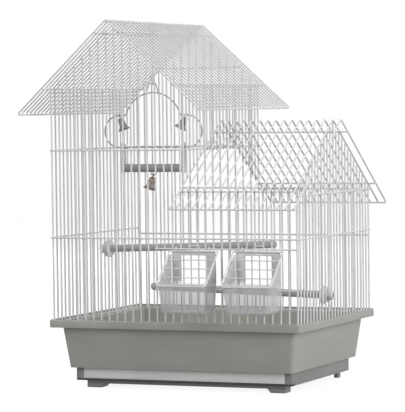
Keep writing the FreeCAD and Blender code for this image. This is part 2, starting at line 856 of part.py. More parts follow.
def bell(pivot, pin_dia, mouth_dia, height, lean):
    """A bell that leans a little on its neck, with a ring round a pin along X through the pivot."""
    crown_z = pivot.z - bell_crown_drop(pin_dia)
    radius = mouth_dia / 2
    outer = [V(radius * share, 0, crown_z - height * fall) for share, fall in bell_outline_shares]
    inner = [V(point.x - bell_wall, 0, point.z) for point in outer]
    inner[0].z -= bell_wall
    outer_curve = Part.BSplineCurve()
    outer_curve.interpolate(outer)
    inner_curve = Part.BSplineCurve()
    inner_curve.interpolate(inner)
    crown = V(0, 0, crown_z)
    under_crown = V(0, 0, inner[0].z)
    outline = Part.Wire(
        [
            Part.makeLine(crown, outer[0]),
            outer_curve.toShape(),
            Part.makeLine(outer[-1], inner[-1]),
            inner_curve.toShape(),
            Part.makeLine(inner[0], under_crown),
            Part.makeLine(under_crown, crown),
        ]
    )
    shell = Part.Face(outline).revolve(V(0, 0, 0), AXIS_Z, FULL_TURN)
    shell.translate(V(pivot.x, pivot.y, 0))
    neck_top = pivot - V(0, 0, bell_ring_radius(pin_dia) + loose_fit)
    neck = rod(neck_top, V(pivot.x, pivot.y, under_crown.z), bell_neck_dia)
    leaning = shell.fuse(neck)
    leaning.rotate(pivot, AXIS_Y, lean)
    ring = Part.makeTorus(bell_ring_radius(pin_dia), bell_ring_dia / 2, pivot, AXIS_X)
    return leaning.fuse(ring).removeSplitter()


def clapper(pivot, pin_dia, height, lean):
    """A ball on a rod that hangs along the bell's axis, just under its crown."""
    top = pivot - V(0, 0, bell_crown_drop(pin_dia) + bell_wall + loose_fit)
    ball = top - V(0, 0, height * clapper_length_share)
    shape = rod(top, ball, clapper_rod_dia).fuse(Part.makeSphere(clapper_ball_dia / 2, ball))
    shape.rotate(pivot, AXIS_Y, lean)
    return shape


def bell_staple(pivot):
    """The staple under the swing's perch that the low bell hangs from."""
    perch_low_z = swing_perch_z - swing_perch_dia / 2
    half = staple_width / 2
    beam_top_z = pivot.z + staple_dia / 2 + paint_film
    wires = []
    for x in (pivot.x - half, pivot.x + half):
        wires.append(rod(V(x, pivot.y, beam_top_z), V(x, pivot.y, perch_low_z), staple_dia))
    reach = V(half + staple_dia / 2, 0, 0)
    wires.append(rod(pivot - reach, pivot + reach, staple_dia))
    return wires


# Overall frame: the origin lies on the floor under the middle of the whole cage
left_end = x_ridge - tall_roof.half_span
right_end = x_right + low_end_wire_count * bar_pitch
origin_shift = V(-(left_end + right_end) / 2, -(cup_front_y + low_roof.half_span) / 2, 0)


def save(name, solids):
    """Write one node: a single solid, or a group of separate solids."""
    shape = Part.makeCompound(solids) if isinstance(solids, list) else solids
    shape.translated(origin_shift).exportStep(f"parts/{name}.step")


def main():
    """Build every piece and write it to its own file."""
    os.makedirs("parts", exist_ok=True)
    save("base_tub", base_tub())
    save("plinth", plinth())
    save("feet", feet())
    save("drawer", drawer())
    save("front_panel", front_panel())
    save("back_panel", back_panel())
    save("left_panel", left_panel())
    save("right_panel", right_panel())
    save("upper_panel", upper_panel())
    save("tall_roof", tall_roof_panel())
    save("low_roof", low_roof_panel())
    for side, right_bar, slip in zip(("left", "right"), feeder_right_bars, feeder_slips):
        centre = feeder_centre(right_bar) - slip
        opening_left_x = x_right - (right_bar + feeder_spaces) * bar_pitch
        save(f"{side}_cup", feeder_cup(centre))
        save(f"{side}_hood", hood(centre, opening_left_x))
    perch_y = perch_side_spaces * bar_pitch
    for level, side, y, rise, tilt in (
        ("upper", -1, perch_y, upper_perch_rise, upper_perch_tilt),
        ("lower", 1, -perch_y, lower_perch_rise, lower_perch_tilt),
    ):
        for piece, shape in perch_set(side, y, lip_top_z + rise, tilt).items():
            save(f"{level}_{piece}" if piece == "perch" else f"{level}_perch_{piece}", shape)
    save("swing_hanger", swing_hanger())
    save("swing_frame", swing_frame())
    save("swing_holders", swing_holders())
    save("swing_perch", swing_perch())
    low_pivot = swing_point(0, swing_perch_z - swing_perch_dia / 2 - staple_height)
    save("bell_staple", bell_staple(low_pivot))
    left_pivot = swing_point(-loop_centre, shoulder_z)
    right_pivot = swing_point(loop_centre, shoulder_z)
    for name, pivot, pin_dia, mouth_dia, height, lean in (
        ("left", left_pivot, swing_wire_dia, bell_mouth_dia, bell_height, left_bell_lean),
        ("right", right_pivot, swing_wire_dia, bell_mouth_dia, bell_height, right_bell_lean),
        ("low", low_pivot, staple_dia, low_bell_mouth_dia, low_bell_height, low_bell_lean),
    ):
        save(f"{name}_bell", bell(pivot, pin_dia, mouth_dia, height, lean))
        save(f"{name}_clapper", clapper(pivot, pin_dia, height, lean))


main()
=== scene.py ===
"""Bird cage: a tall wire house beside a low one, on a moulded tub, dressed for a plain studio picture."""

import json
import logging
import math
from contextlib import contextmanager
from dataclasses import dataclass
from enum import Enum
from typing import Any, Callable, Iterator, Optional, Sequence, Union

import bpy
import bmesh
from mathutils import Matrix, Vector
from mathutils.geometry import intersect_line_line


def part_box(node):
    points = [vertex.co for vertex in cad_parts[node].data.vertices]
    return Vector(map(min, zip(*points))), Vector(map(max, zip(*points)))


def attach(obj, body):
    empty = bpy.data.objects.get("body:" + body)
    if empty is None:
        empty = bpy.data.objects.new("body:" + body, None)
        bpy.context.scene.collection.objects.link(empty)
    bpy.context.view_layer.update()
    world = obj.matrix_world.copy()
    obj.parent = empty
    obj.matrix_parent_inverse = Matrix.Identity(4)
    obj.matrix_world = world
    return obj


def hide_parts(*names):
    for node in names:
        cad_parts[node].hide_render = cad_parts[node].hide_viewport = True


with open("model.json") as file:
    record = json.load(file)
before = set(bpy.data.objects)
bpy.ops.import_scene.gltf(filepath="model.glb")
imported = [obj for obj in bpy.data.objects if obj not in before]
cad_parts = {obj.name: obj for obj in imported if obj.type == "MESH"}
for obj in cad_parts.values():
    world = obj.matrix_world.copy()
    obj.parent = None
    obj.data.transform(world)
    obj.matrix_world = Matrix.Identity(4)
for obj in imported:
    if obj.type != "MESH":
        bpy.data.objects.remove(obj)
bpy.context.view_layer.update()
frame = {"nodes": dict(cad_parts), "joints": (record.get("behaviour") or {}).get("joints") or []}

MM = 0.001

# The frame's directions, and the two sides of a ridge
RIGHT = Vector((1.0, 0.0, 0.0))
BACK = Vector((0.0, 1.0, 0.0))
UP = Vector((0.0, 0.0, 1.0))
SIDES = (-1, 1)

# Flats round a bent wire that shows well, and round the others
WIRE_FLATS = 12
THIN_FLATS = 10

# Angles in degrees: where shading creases, where an edge is eased, and within which faces count as flat
CREASE = 42.0
EASED_PAST = 32.0
FLAT_WITHIN = 0.4

# Distances within which points are merged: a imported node's, and those of a wire's two ends
NODE_MERGE = 0.005 * MM
END_MERGE = 0.05 * MM

log = logging.getLogger("bird_cage")

Colour = tuple[float, float, float]
Point = tuple[float, float, float]
Span = tuple[Vector, Vector]
Piece = bpy.types.Object


class Signal:
    """A shader value that can be added, subtracted, multiplied and raised to a power like a number."""

    def __init__(self, graph: "Graph", socket: bpy.types.NodeSocket) -> None:
        """Wrap an output socket of a graph."""
        self.graph = graph
        self.socket = socket

    def maths(self, operation: str, first: "Value", second: "Value") -> "Signal":
        """The result of a Math node on two values."""
        return self.graph.node("ShaderNodeMath", {"operation": operation}, {0: first, 1: second})

    def __add__(self, other: "Value") -> "Signal":
        """Sum."""
        return self.maths("ADD", self, other)

    def __radd__(self, other: "Value") -> "Signal":
        """Sum, with a number first."""
        return self.maths("ADD", other, self)

    def __sub__(self, other: "Value") -> "Signal":
        """Difference."""
        return self.maths("SUBTRACT", self, other)

    def __rsub__(self, other: "Value") -> "Signal":
        """Difference, with a number first."""
        return self.maths("SUBTRACT", other, self)

    def __mul__(self, other: "Value") -> "Signal":
        """Product."""
        return self.maths("MULTIPLY", self, other)

    def __rmul__(self, other: "Value") -> "Signal":
        """Product, with a number first."""
        return self.maths("MULTIPLY", other, self)

    def __pow__(self, other: "Value") -> "Signal":
        """Power."""
        return self.maths("POWER", self, other)


Value = Union[float, Sequence[float], Signal]
Inputs = dict[str, Value]


class Axis(Enum):
    """An axis of the cage's frame, by the name of a node's output."""

    WIDTH = "X"
    DEPTH = "Y"
    HEIGHT = "Z"


class Graph:
    """A node graph of a material or of the world."""

    def __init__(self, tree: bpy.types.NodeTree) -> None:
        """Take over a node tree."""
        self.tree = tree

    def join(self, socket: bpy.types.NodeSocket, value: Value) -> None:
        """Link a signal to an input socket, or set a plain value on it.

        Args:
            socket: the input socket.
            value: the signal, number, colour or vector for it.
        """
        if isinstance(value, Signal):
            self.tree.links.new(value.socket, socket)
        else:
            socket.default_value = value

    def node(
        self,
        kind: str,
        settings: Optional[dict[str, Any]] = None,
        sockets: Optional[dict[Union[str, int], Value]] = None,
        output: Union[str, int] = 0,
    ) -> Signal:
        """Add a node.

        Args:
            kind: the node's type.
            settings: its properties.
            sockets: values or signals for its inputs, by name or number.
            output: the output to return, by name or number.

        Returns:
            The chosen output.
        """
        made = self.tree.nodes.new(kind)
        for name, value in (settings or {}).items():
            setattr(made, name, value)
        for name, value in (sockets or {}).items():
            self.join(made.inputs[name], value)
        return Signal(self, made.outputs[output])

    def place(self) -> Signal:
        """Object coordinates, in metres of the cage's own frame."""
        return self.node("ShaderNodeTexCoord", output="Object")

    def noise(self, scale: float, detail: float, stretch: Point = (1.0, 1.0, 1.0)) -> Signal:
        """A noise pattern, from its cells in a metre, its finer layers and its stretch along each axis."""
        turned = self.node("ShaderNodeMapping", sockets={"Vector": self.place(), "Scale": stretch})
        return self.node("ShaderNodeTexNoise", sockets={"Vector": turned, "Scale": scale, "Detail": detail})

    def blend(self, share: Value, first: Value, second: Value) -> Signal:
        """Mix two colours.

        Args:
            share: the second colour's share.
            first: the colour at share 0.
            second: the colour at share 1.

        Returns:
            The mixed colour.
        """
        colours = [(*c, 1.0) if isinstance(c, tuple) else c for c in (first, second)]
        settings = {"data_type": "RGBA", "clamp_factor": True}
        return self.node("ShaderNodeMix", settings, {0: share, 6: colours[0], 7: colours[1]}, 2)

    def along(self, axis: Axis) -> Signal:
        """How far a point of the piece lies along an axis, in metres."""
        return self.node("ShaderNodeSeparateXYZ", sockets={"Vector": self.place()}, output=axis.value)

    def between(self, value: Value, low: float, high: float) -> Signal:
        """Where a value lies between two limits, smoothly from 0 at the low one to 1 at the high one."""
        settings = {"interpolation_type": "SMOOTHSTEP"}
        return self.node("ShaderNodeMapRange", settings, {"Value": value, "From Min": low, "From Max": high})

    def bump(self, strength: float, depth: float, pattern: Signal) -> Signal:
        """A surface raised by a pattern, to a depth in millimetres."""
        sockets = {"Strength": strength, "Distance": depth * MM, "Height": pattern}
        return self.node("ShaderNodeBump", sockets=sockets)

    def seen_directly(self) -> Signal:
        """One for rays that the camera, a reflection or a clear wall sends, and zero for the rest.

        Returns:
            The mask.
        """
        rays = ("Is Camera Ray", "Is Glossy Ray", "Is Transmission Ray")
        camera, glossy, through = (self.node("ShaderNodeLightPath", output=ray) for ray in rays)
        return camera.maths("MAXIMUM", camera, glossy.maths("MAXIMUM", glossy, through))


@dataclass(frozen=True)
class Finish:
    """What every finish shares: a name and a colour, on a Principled shader."""

    name: str
    colour: Colour

    def material(self) -> bpy.types.Material:
        """The finish as a material, made once.

        Returns:
            The material.
        """
        found = bpy.data.materials.get(self.name)
        if found:
            return found
        made = bpy.data.materials.new(self.name)
        made.use_nodes = True
        graph = Graph(made.node_tree)
        shader = made.node_tree.nodes["Principled BSDF"]
        for name, value in self.inputs(graph).items():
            graph.join(shader.inputs[name], value)
        return made

    def inputs(self, graph: Graph) -> Inputs:
        """Values for the shader's inputs; each finish gives its own."""
        raise NotImplementedError

    def shade(self, factor: float) -> Colour:
        """The finish's colour, lighter or darker by a factor."""
        return tuple(channel * factor for channel in self.colour)


@dataclass(frozen=True)
class Enamel(Finish):
    """Stove enamel on wire: glossy, a little uneven where it pooled, with a few dull specks."""

    speck: Colour = (0.56, 0.55, 0.52)
    specks: float = 0.35

    def inputs(self, graph: Graph) -> Inputs:
        """Values for the shader's inputs.

        Args:
            graph: the material's node graph.

        Returns:
            The values, by the inputs' names.
        """
        pools = graph.noise(60.0, 3.0)
        dust = graph.between(graph.noise(420.0, 2.0), 0.62, 0.72)
        coat = graph.blend(graph.between(pools, 0.3, 0.7), self.shade(0.95), self.shade(1.03))
        return {
            "Base Color": graph.blend(dust * self.specks, coat, self.speck),
            "Roughness": 0.24 + pools * 0.16 + dust * 0.2,
            "Normal": graph.bump(0.12, 0.1, graph.noise(900.0, 1.0)),
            "Specular IOR Level": 0.3,
        }


@dataclass(frozen=True)
class Moulding(Finish):
    """Moulded plastic with a fine spark grain, faint flow marks and light scuffs."""

    roughness: float = 0.42
    grain: float = 0.10
    scuff: float = 0.06
    speckle: float = 0.0

    def inputs(self, graph: Graph) -> Inputs:
        """Values for the shader's inputs.

        Args:
            graph: the material's node graph.

        Returns:
            The values, by the inputs' names.
        """
        flow = graph.noise(14.0, 4.0, (1.0, 1.0, 2.4))
        rubs = graph.between(graph.noise(55.0, 5.0, (0.5, 0.5, 9.0)), 0.58, 0.75)
        body = graph.blend(graph.between(flow, 0.32, 0.68), self.shade(0.955), self.shade(1.045))
        if self.speckle:
            flecks = graph.between(graph.noise(620.0, 1.0), 0.5, 0.66)
            body = graph.blend(flecks * self.speckle, body, self.shade(2.0))
        sparks = graph.noise(1500.0, 2.0)
        return {
            "Base Color": graph.blend(rubs * self.scuff, body, self.shade(1.6)),
            "Roughness": self.roughness + sparks * 0.12 - rubs * 0.1,
            "Normal": graph.bump(self.grain, 0.15, sparks),
            "Specular IOR Level": 0.4,
        }


@dataclass(frozen=True)
class ShadedJointMoulding(Moulding):
    """The plinth's plastic, with painted shade darkening the joint between the drawer and the sill, in
    metres.
    """

    joint: tuple[float, float] = (0.0106, 0.0144)
    joint_front: float = -0.105
    fade: float = 0.0008
    # Share of the colour that is left where the joint's shade is painted
    joint_painted_shade: float = 0.12

    def inputs(self, graph: Graph) -> Inputs:
        """Values for the shader's inputs.

        Args:
            graph: the material's node graph.

        Returns:
            The values, by the inputs' names.
        """
        values = super().inputs(graph)
        height = graph.along(Axis.HEIGHT)
        low, high = self.joint
        band = graph.between(height, low, low + self.fade) * graph.between(height, high, high - self.fade)
        front = graph.between(graph.along(Axis.DEPTH), self.joint_front, self.joint_front - self.fade)
        # Painted shade: the band under the drawer's front is darkened to stand in for the shadow gap there
        values["Base Color"] = graph.blend(band * front, values["Base Color"], self.shade(self.joint_painted_shade))
        return values


@dataclass(frozen=True)
class ClearMoulding(Finish):
    """Clear moulded plastic with a milky cast, thicker edge on and frosted above the rim, in metres."""

    least: float = 0.27
    most: float = 0.66
    frosted: float = 0.56
    rim: float = 0.157
    frost_top: float = 0.168

    def inputs(self, graph: Graph) -> Inputs:
        """Values for the shader's inputs.

        Args:
            graph: the material's node graph.

        Returns:
            The values, by the inputs' names.
        """
        swirl = graph.noise(38.0, 3.0, (1.0, 1.0, 0.6))
        edge = graph.node("ShaderNodeLayerWeight", sockets={"Blend": 0.42}, output="Facing")
        veil = self.least + (edge**1.6) * (self.most - self.least)
        frost = graph.between(graph.along(Axis.HEIGHT), self.rim, self.frost_top) * self.frosted
        return {
            "Base Color": graph.blend(swirl, self.shade(0.95), self.shade(1.05)),
            "Alpha": veil + frost * (0.5 + swirl) + (swirl - 0.5) * 0.16,
            "Roughness": 0.12 + swirl * 0.14,
        }


@dataclass(frozen=True)
class Metal(Finish):
    """Drawn or plated metal with fine streaks and a little tarnish."""

    tarnish: Colour = (0.2, 0.19, 0.17)
    roughness: float = 0.3
    spread: float = 0.45

    def inputs(self, graph: Graph) -> Inputs:
        """Values for the shader's inputs.

        Args:
            graph: the material's node graph.

        Returns:
            The values, by the inputs' names.
        """
        stain = graph.between(graph.noise(130.0, 4.0), 0.46, 0.7)
        streak = graph.noise(700.0, 2.0, (1.0, 1.0, 0.15))
        return {
            "Base Color": graph.blend(stain * self.spread, self.colour, self.tarnish),
            "Roughness": self.roughness + streak * 0.16 + stain * 0.15,
            "Metallic": 1.0,
        }


@dataclass(frozen=True)
class GlowingFloor(Finish):
    """A floor that shows white to the camera and keeps the cage's shadow."""

    roughness: float = 0.9
    glow: float = 0.9

    def inputs(self, graph: Graph) -> Inputs:
        """Values for the shader's inputs.

        Args:
            graph: the material's node graph.

        Returns:
            The values, by the inputs' names.
        """
        return {
            "Base Color": (*self.colour, 1.0),
            "Roughness": self.roughness,
            "Specular IOR Level": 0.0,
            "Emission Color": (1.0, 1.0, 1.0, 1.0),
            "Emission Strength": graph.seen_directly() * self.glow,
        }


WHITE_ENAMEL = Enamel("white_enamel", (0.75, 0.75, 0.75))
GREY_TUB = Moulding("grey_tub", (0.375, 0.368, 0.342))
# Painted shade: the plinth and feet are the tub's grey plastic, darkened to stand in for the shade under the
# tub's overhang; the joint's shade is painted on top
SHADED_PLINTH = ShadedJointMoulding("plinth_painted_shade", (0.225, 0.223, 0.215))
PALE_DRAWER = Moulding("pale_drawer", (0.74, 0.74, 0.735), roughness=0.36)
CLEAR_CUP = ClearMoulding("clear_cup", (0.62, 0.62, 0.635))
GREY_PERCH = Moulding("grey_perch", (0.42, 0.425, 0.415), roughness=0.5, grain=0.3, speckle=0.2)
DARK_PERCH = Moulding("dark_perch", (0.31, 0.31, 0.31), roughness=0.5, grain=0.35, speckle=0.35)
PALE_WASHER = Moulding("pale_washer", (0.68, 0.705, 0.68), roughness=0.3)
PALE_HOLDER = Moulding("pale_holder", (0.72, 0.72, 0.72), roughness=0.35)
SWING_STEEL = Metal("swing_steel", (0.3, 0.3, 0.295))
BELL_PLATE = Metal("bell_plate", (0.22, 0.22, 0.215), tarnish=(0.11, 0.105, 0.1))
DULL_BRASS = Metal("dull_brass", (0.235, 0.2, 0.185), tarnish=(0.11, 0.09, 0.08))
PALE_FLOOR = GlowingFloor("pale_floor", (0.22, 0.22, 0.22))

NODE_FINISHES: dict[str, Finish] = {
    "upper_perch_stud": SWING_STEEL,
    "lower_perch_stud": SWING_STEEL,
    "left_clapper": BELL_PLATE,
    "right_clapper": BELL_PLATE,
    "low_clapper": DULL_BRASS,
}


def dress_node(node: str, finish: Finish) -> None:
    """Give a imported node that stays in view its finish.

    Args:
        node: the node's name.
        finish: its finish.
    """
    mesh = frame["nodes"][node].data
    mesh.materials.clear()
    mesh.materials.append(finish.material())
    log.info("dressed %s", node)


def joint_place(name: str) -> Vector:
    """Where a joint of the frame turns."""
    return Vector(next(joint["pos_m"] for joint in frame["joints"] if joint["name"] == name))


@dataclass(frozen=True)
class Layout:
    """Places of the cage's plan: millimetres from the tub's middle and its lip, as metres of the frame."""

    middle_x: float
    middle_y: float
    lip: float

    @classmethod
    def from_frame(cls) -> "Layout":
        """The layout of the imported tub, from its middle and the height of its lip."""
        low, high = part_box("base_tub")
        return cls((low.x + high.x) / 2, (low.y + high.y) / 2, high.z)

    def at(self, x: float, y: float, rise: float) -> Vector:
        """A place from millimetres right of, behind and above the middle of the lip."""
        return Vector((self.middle_x + x * MM, self.middle_y + y * MM, self.lip + rise * MM))


def clear_selection() -> None:
    """Select nothing, outside edit mode."""
    bpy.ops.object.select_all(action="DESELECT")


def pick_only(piece: Piece) -> None:
    """Select one piece alone and make it the active one."""
    clear_selection()
    piece.select_set(True)
    bpy.context.view_layer.objects.active = piece


@contextmanager
def editing(piece: Piece) -> Iterator[None]:
    """Edit mode on one piece, with all of it selected at the start.

    Args:
        piece: the piece to edit.
    """
    pick_only(piece)
    bpy.ops.object.mode_set(mode="EDIT")
    bpy.ops.mesh.select_mode(type="VERT")
    bpy.ops.mesh.select_all(action="SELECT")
    yield
    bpy.ops.object.mode_set(mode="OBJECT")


class Element(Enum):
    """A kind of mesh element, by the name of its select mode."""

    EDGE = "EDGE"
    FACE = "FACE"


def pick(piece: Piece, element: Element, test: Callable[[Any], bool]) -> None:
    """Select the edges or faces of the piece being edited that pass a test, and no others.

    Args:
        piece: the piece being edited.
        element: whether edges or faces are meant.
        test: says whether one is wanted.
    """
    bpy.ops.mesh.select_all(action="DESELECT")
    bpy.ops.mesh.select_mode(type=element.value)
    drawn = bmesh.from_edit_mesh(piece.data)
    for part in drawn.edges if element is Element.EDGE else drawn.faces:
        part.select_set(test(part))
    bmesh.update_edit_mesh(piece.data)


def is_cap(face: bmesh.types.BMFace) -> bool:
    """Whether a face is the round end of a wire, which alone has more than four corners."""
    return len(face.verts) > 4


def at_cap(edge: bmesh.types.BMEdge) -> bool:
    """Whether an edge runs round the end of a wire."""
    return any(is_cap(face) for face in edge.link_faces)


def face_outwards() -> None:
    """Turn all faces of the piece being edited outwards."""
    bpy.ops.mesh.select_all(action="SELECT")
    bpy.ops.mesh.normals_make_consistent(inside=False)


def apply_modifier(piece: Piece, kind: str, **settings: Any) -> None:
    """Add a modifier to a piece and apply it.

    Args:
        piece: the piece to change.
        kind: the modifier's type.
        settings: the modifier's properties.
    """
    modifier = piece.modifiers.new(kind.lower(), kind)
    for name, value in settings.items():
        setattr(modifier, name, value)
    pick_only(piece)
    bpy.ops.object.modifier_apply(modifier=modifier.name)


def ease_edges(piece: Piece, width: float, segments: int, past: float) -> None:
    """Ease the edges where a piece's faces turn by more than an angle, with a width in millimetres."""
    turn = {"limit_method": "ANGLE", "angle_limit": math.radians(past)}
    apply_modifier(piece, "BEVEL", width=width * MM, segments=segments, **turn)


def place_applied(piece: Piece) -> None:
    """Put a piece's place, turn and scale into its mesh."""
    pick_only(piece)
    bpy.ops.object.transform_apply(location=True, rotation=True, scale=True)


def added(shape: Callable[..., Any], name: str, **settings: Any) -> Piece:
    """Add a simple shape, with its place put into its mesh.

    Args:
        shape: the operator that adds it.
        name: the piece's name.
        settings: the operator's settings.

    Returns:
        The piece.
    """
    clear_selection()
    shape(**settings)
    piece = bpy.context.object
    piece.name = name
    place_applied(piece)
    return piece


def linked(name: str, data: bpy.types.ID) -> Piece:
    """A new object of the scene.

    Args:
        name: its name.
        data: its mesh, lamp or camera.

    Returns:
        The object.
    """
    made = bpy.data.objects.new(name, data)
    bpy.context.scene.collection.objects.link(made)
    return made


def copied(pattern: Piece, name: str, move: Matrix) -> Piece:
    """A copy of a pattern with a mesh of its own.

    Args:
        pattern: the piece to copy.
        name: the copy's name.
        move: where the copy goes.

    Returns:
        The copy.
    """
    mesh = pattern.data.copy()
    mesh.transform(move)
    return linked(name, mesh)


def joined(pieces: Sequence[Piece], name: str) -> Piece:
    """Join pieces into one.

    Args:
        pieces: the pieces to join, at least two.
        name: the joined piece's name.

    Returns:
        The joined piece.
    """
    clear_selection()
    for piece in pieces:
        piece.select_set(True)
    bpy.context.view_layer.objects.active = pieces[0]
    bpy.ops.object.join()
    pieces[0].name = name
    return pieces[0]


def settle(piece: Piece, finish: Finish, body: str, slot: str, nodes: Sequence[str] = ()) -> None:
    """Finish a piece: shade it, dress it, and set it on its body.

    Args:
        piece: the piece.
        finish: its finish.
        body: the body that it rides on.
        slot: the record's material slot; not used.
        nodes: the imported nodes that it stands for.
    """
    place_applied(piece)
    bpy.ops.object.shade_smooth_by_angle(angle=math.radians(CREASE))
    piece.data.materials.clear()
    piece.data.materials.append(finish.material())
    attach(piece, body)
    if nodes:
        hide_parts(*nodes)
    log.info("%s: %d faces on %s", piece.name, len(piece.data.polygons), body)


def mould(
    node: str,
    name: str,
    finish: Finish,
    slot: str,
    ease: float,
    body: str = "cage",
    segments: int = 2,
    cuts: Sequence[Vector] = (),
) -> None:
    """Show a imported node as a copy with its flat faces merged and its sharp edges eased.

    Args:
        node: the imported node.
        name: the copy's name.
        finish: its finish.
        slot: the record's material slot.
        ease: the width of the easing, in millimetres.
        body: the body that it rides on.
        segments: how many faces go round an eased edge.
        cuts: points where its rings are cut across, so that each face is a short strip.
    """
    copy = copied(frame["nodes"][node], name, Matrix())
    with editing(copy):
        bpy.ops.mesh.remove_doubles(threshold=NODE_MERGE)
        bpy.ops.mesh.dissolve_limited(angle_limit=math.radians(FLAT_WITHIN))
        bpy.ops.mesh.normals_make_consistent(inside=False)
        for point in cuts:
            for across in (RIGHT, BACK):
                bpy.ops.mesh.select_all(action="SELECT")
                bpy.ops.mesh.bisect(plane_co=point, plane_no=across)
    ease_edges(copy, ease, segments, EASED_PAST)
    settle(copy, finish, body, slot, [node])


class WireBender:
    """A wire drawn out from a round end in straight runs and bends."""

    def __init__(
        self, name: str, start: Vector, heading: Vector, dia: float, flats: int = THIN_FLATS
    ) -> None:
        """Cut the wire's first end.

        Args:
            name: the wire's name.
            start: the middle of the end.
            heading: the direction that the wire leaves in.
            dia: the wire's diameter, in millimetres.
            flats: how many flats go round the wire.
        """
        self.tip = start.copy()
        self.heading = heading.normalized()
        self.piece = added(
            bpy.ops.mesh.primitive_circle_add,
            name,
            vertices=flats,
            radius=dia / 2 * MM,
            fill_type="NGON",
            location=start,
            rotation=self.heading.to_track_quat("Z", "Y").to_euler(),
        )
        bpy.ops.object.mode_set(mode="EDIT")
        bpy.ops.mesh.select_all(action="SELECT")

    def run(self, length: float) -> "WireBender":
        """Draw the wire straight on.

        Args:
            length: how far, in metres.

        Returns:
            The bender, for the next step.
        """
        step = self.heading * length
        bpy.ops.mesh.extrude_region_move(TRANSFORM_OT_translate={"value": step})
        self.tip += step
        return self

    def turn(self, centre: Vector, axis: Vector, degrees: float, steps: int) -> "WireBender":
        """Bend the wire round a centre.

        Args:
            centre: the middle of the bend.
            axis: the axis of the bend, right-handed.
            degrees: how far it turns.
            steps: how many faces go along the bend.

        Returns:
            The bender, for the next step.
        """
        angle = math.radians(degrees)
        bpy.ops.mesh.spin(steps=steps, angle=-angle, center=centre, axis=axis)
        spin = Matrix.Rotation(angle, 3, axis)
        self.tip = centre + spin @ (self.tip - centre)
        self.heading = spin @ self.heading
        return self

    def corner(self, axis: Vector, degrees: float, radius: float, steps: int = 6) -> "WireBender":
        """Bend the wire on from where it points, with a radius in millimetres."""
        side = axis.cross(self.heading) * math.copysign(radius * MM, degrees)
        return self.turn(self.tip + side, axis, degrees, steps)

    def bow(
        self, leg: float, span: float, axis: Vector, degrees: float, radius: float, steps: int = 6
    ) -> "WireBender":
        """Draw a leg, a crosspiece and another leg, with a bend between each two.

        Args:
            leg: the straight length of each leg, in metres.
            span: the straight length of the crosspiece, in metres.
            axis: the axis of both bends, right-handed.
            degrees: how far each bend turns.
            radius: the bends' radius, in millimetres.
            steps: how many faces go along a bend.

        Returns:
            The bender, for the next step.
        """
        self.run(leg).corner(axis, degrees, radius, steps)
        self.run(span).corner(axis, degrees, radius, steps)
        return self.run(leg)

    def cut(self, ease: float = 0.0) -> Piece:
        """Cut the wire off, with its two ends eased.

        Args:
            ease: the width of the easing, in millimetres.

        Returns:
            The wire.
        """
        if ease:
            pick(self.piece, Element.EDGE, at_cap)
            bpy.ops.mesh.bevel(offset=ease * MM, segments=2, affect="EDGES")
        return self.finished()

    def close(self) -> Piece:
        """Join the wire's two ends, where it comes back to its start.

        Returns:
            The closed wire.
        """
        pick(self.piece, Element.FACE, is_cap)
        bpy.ops.mesh.delete(type="ONLY_FACE")
        bpy.ops.mesh.select_all(action="SELECT")
        bpy.ops.mesh.remove_doubles(threshold=END_MERGE)
        return self.finished()

    def finished(self) -> Piece:
        """Leave the wire with its faces turned outwards.

        Returns:
            The wire.
        """
        face_outwards()
        bpy.ops.object.mode_set(mode="OBJECT")
        return self.piece


class WireStock:
    """Straight wire, cut to length from one modelled pattern, and the beads where wires are welded."""

    PATTERN_LENGTH = 0.02
    BEAD_SEGMENTS = 8
    BEAD_RINGS = 5
    BEAD_FLATNESS = 0.82
    # Shares of the wire's diameter
    END_EASE = 0.22
    BEAD_RADIUS = 0.62
    WELD_REACH = 1.25

    def __init__(self, dia: float) -> None:
        """Model the wire pattern and the bead pattern.

        Args:
            dia: the wire's diameter, in millimetres.
        """
        self.dia = dia
        self.pattern = added(
            bpy.ops.mesh.primitive_cylinder_add,
            "wire",
            vertices=THIN_FLATS,
            radius=dia / 2 * MM,
            depth=self.PATTERN_LENGTH,
            location=UP * (self.PATTERN_LENGTH / 2),
        )
        with editing(self.pattern):
            pick(self.pattern, Element.EDGE, at_cap)
            bpy.ops.mesh.bevel(offset=self.END_EASE * dia * MM, segments=1, affect="EDGES")
        self.bead = added(
            bpy.ops.mesh.primitive_uv_sphere_add,
            "bead",
            segments=self.BEAD_SEGMENTS,
            ring_count=self.BEAD_RINGS,
            radius=self.BEAD_RADIUS * dia * MM,
        )
        with editing(self.bead):
            bpy.ops.transform.resize(value=(1.0, 1.0, self.BEAD_FLATNESS))

    def wire(self, start: Vector, end: Vector) -> Piece:
        """Cut a straight wire.

        Args:
            start: the middle of one end.
            end: the middle of the other end.

        Returns:
            The wire.
        """
        run = end - start
        copy = copied(self.pattern, "wire", Matrix())
        for vertex in copy.data.vertices:
            if vertex.co.z > self.PATTERN_LENGTH / 2:
                vertex.co.z += run.length - self.PATTERN_LENGTH
        copy.data.transform(Matrix.Translation(start) @ run.to_track_quat("Z", "Y").to_matrix().to_4x4())
        return copy

    def welds(self, first: Sequence[Span], second: Sequence[Span]) -> list[Piece]:
        """Beads where the wires of one set touch the wires of another.

        Args:
            first: the ends of one set's wires.
            second: the ends of the other set's wires.

        Returns:
            The beads.
        """
        beads = []
        reach = self.WELD_REACH * self.dia * MM
        for span in first:
            for other in second:
                touch = intersect_line_line(*span, *other)
                if touch is None or (touch[0] - touch[1]).length > reach:
                    continue
                if all(within(point, ends, reach) for point, ends in zip(touch, (span, other))):
                    beads.append(copied(self.bead, "bead", Matrix.Translation((touch[0] + touch[1]) / 2)))
        return beads

    def put_away(self) -> None:
        """Remove the patterns."""
        for pattern in (self.pattern, self.bead):
            bpy.data.objects.remove(pattern)


def within(point: Vector, ends: Span, slack: float) -> bool:
    """Whether a point on a wire's line lies on the wire, or past an end by less than a slack in metres."""
    reach = (ends[1] - ends[0]).length + slack
    return all((point - end).length < reach for end in ends)


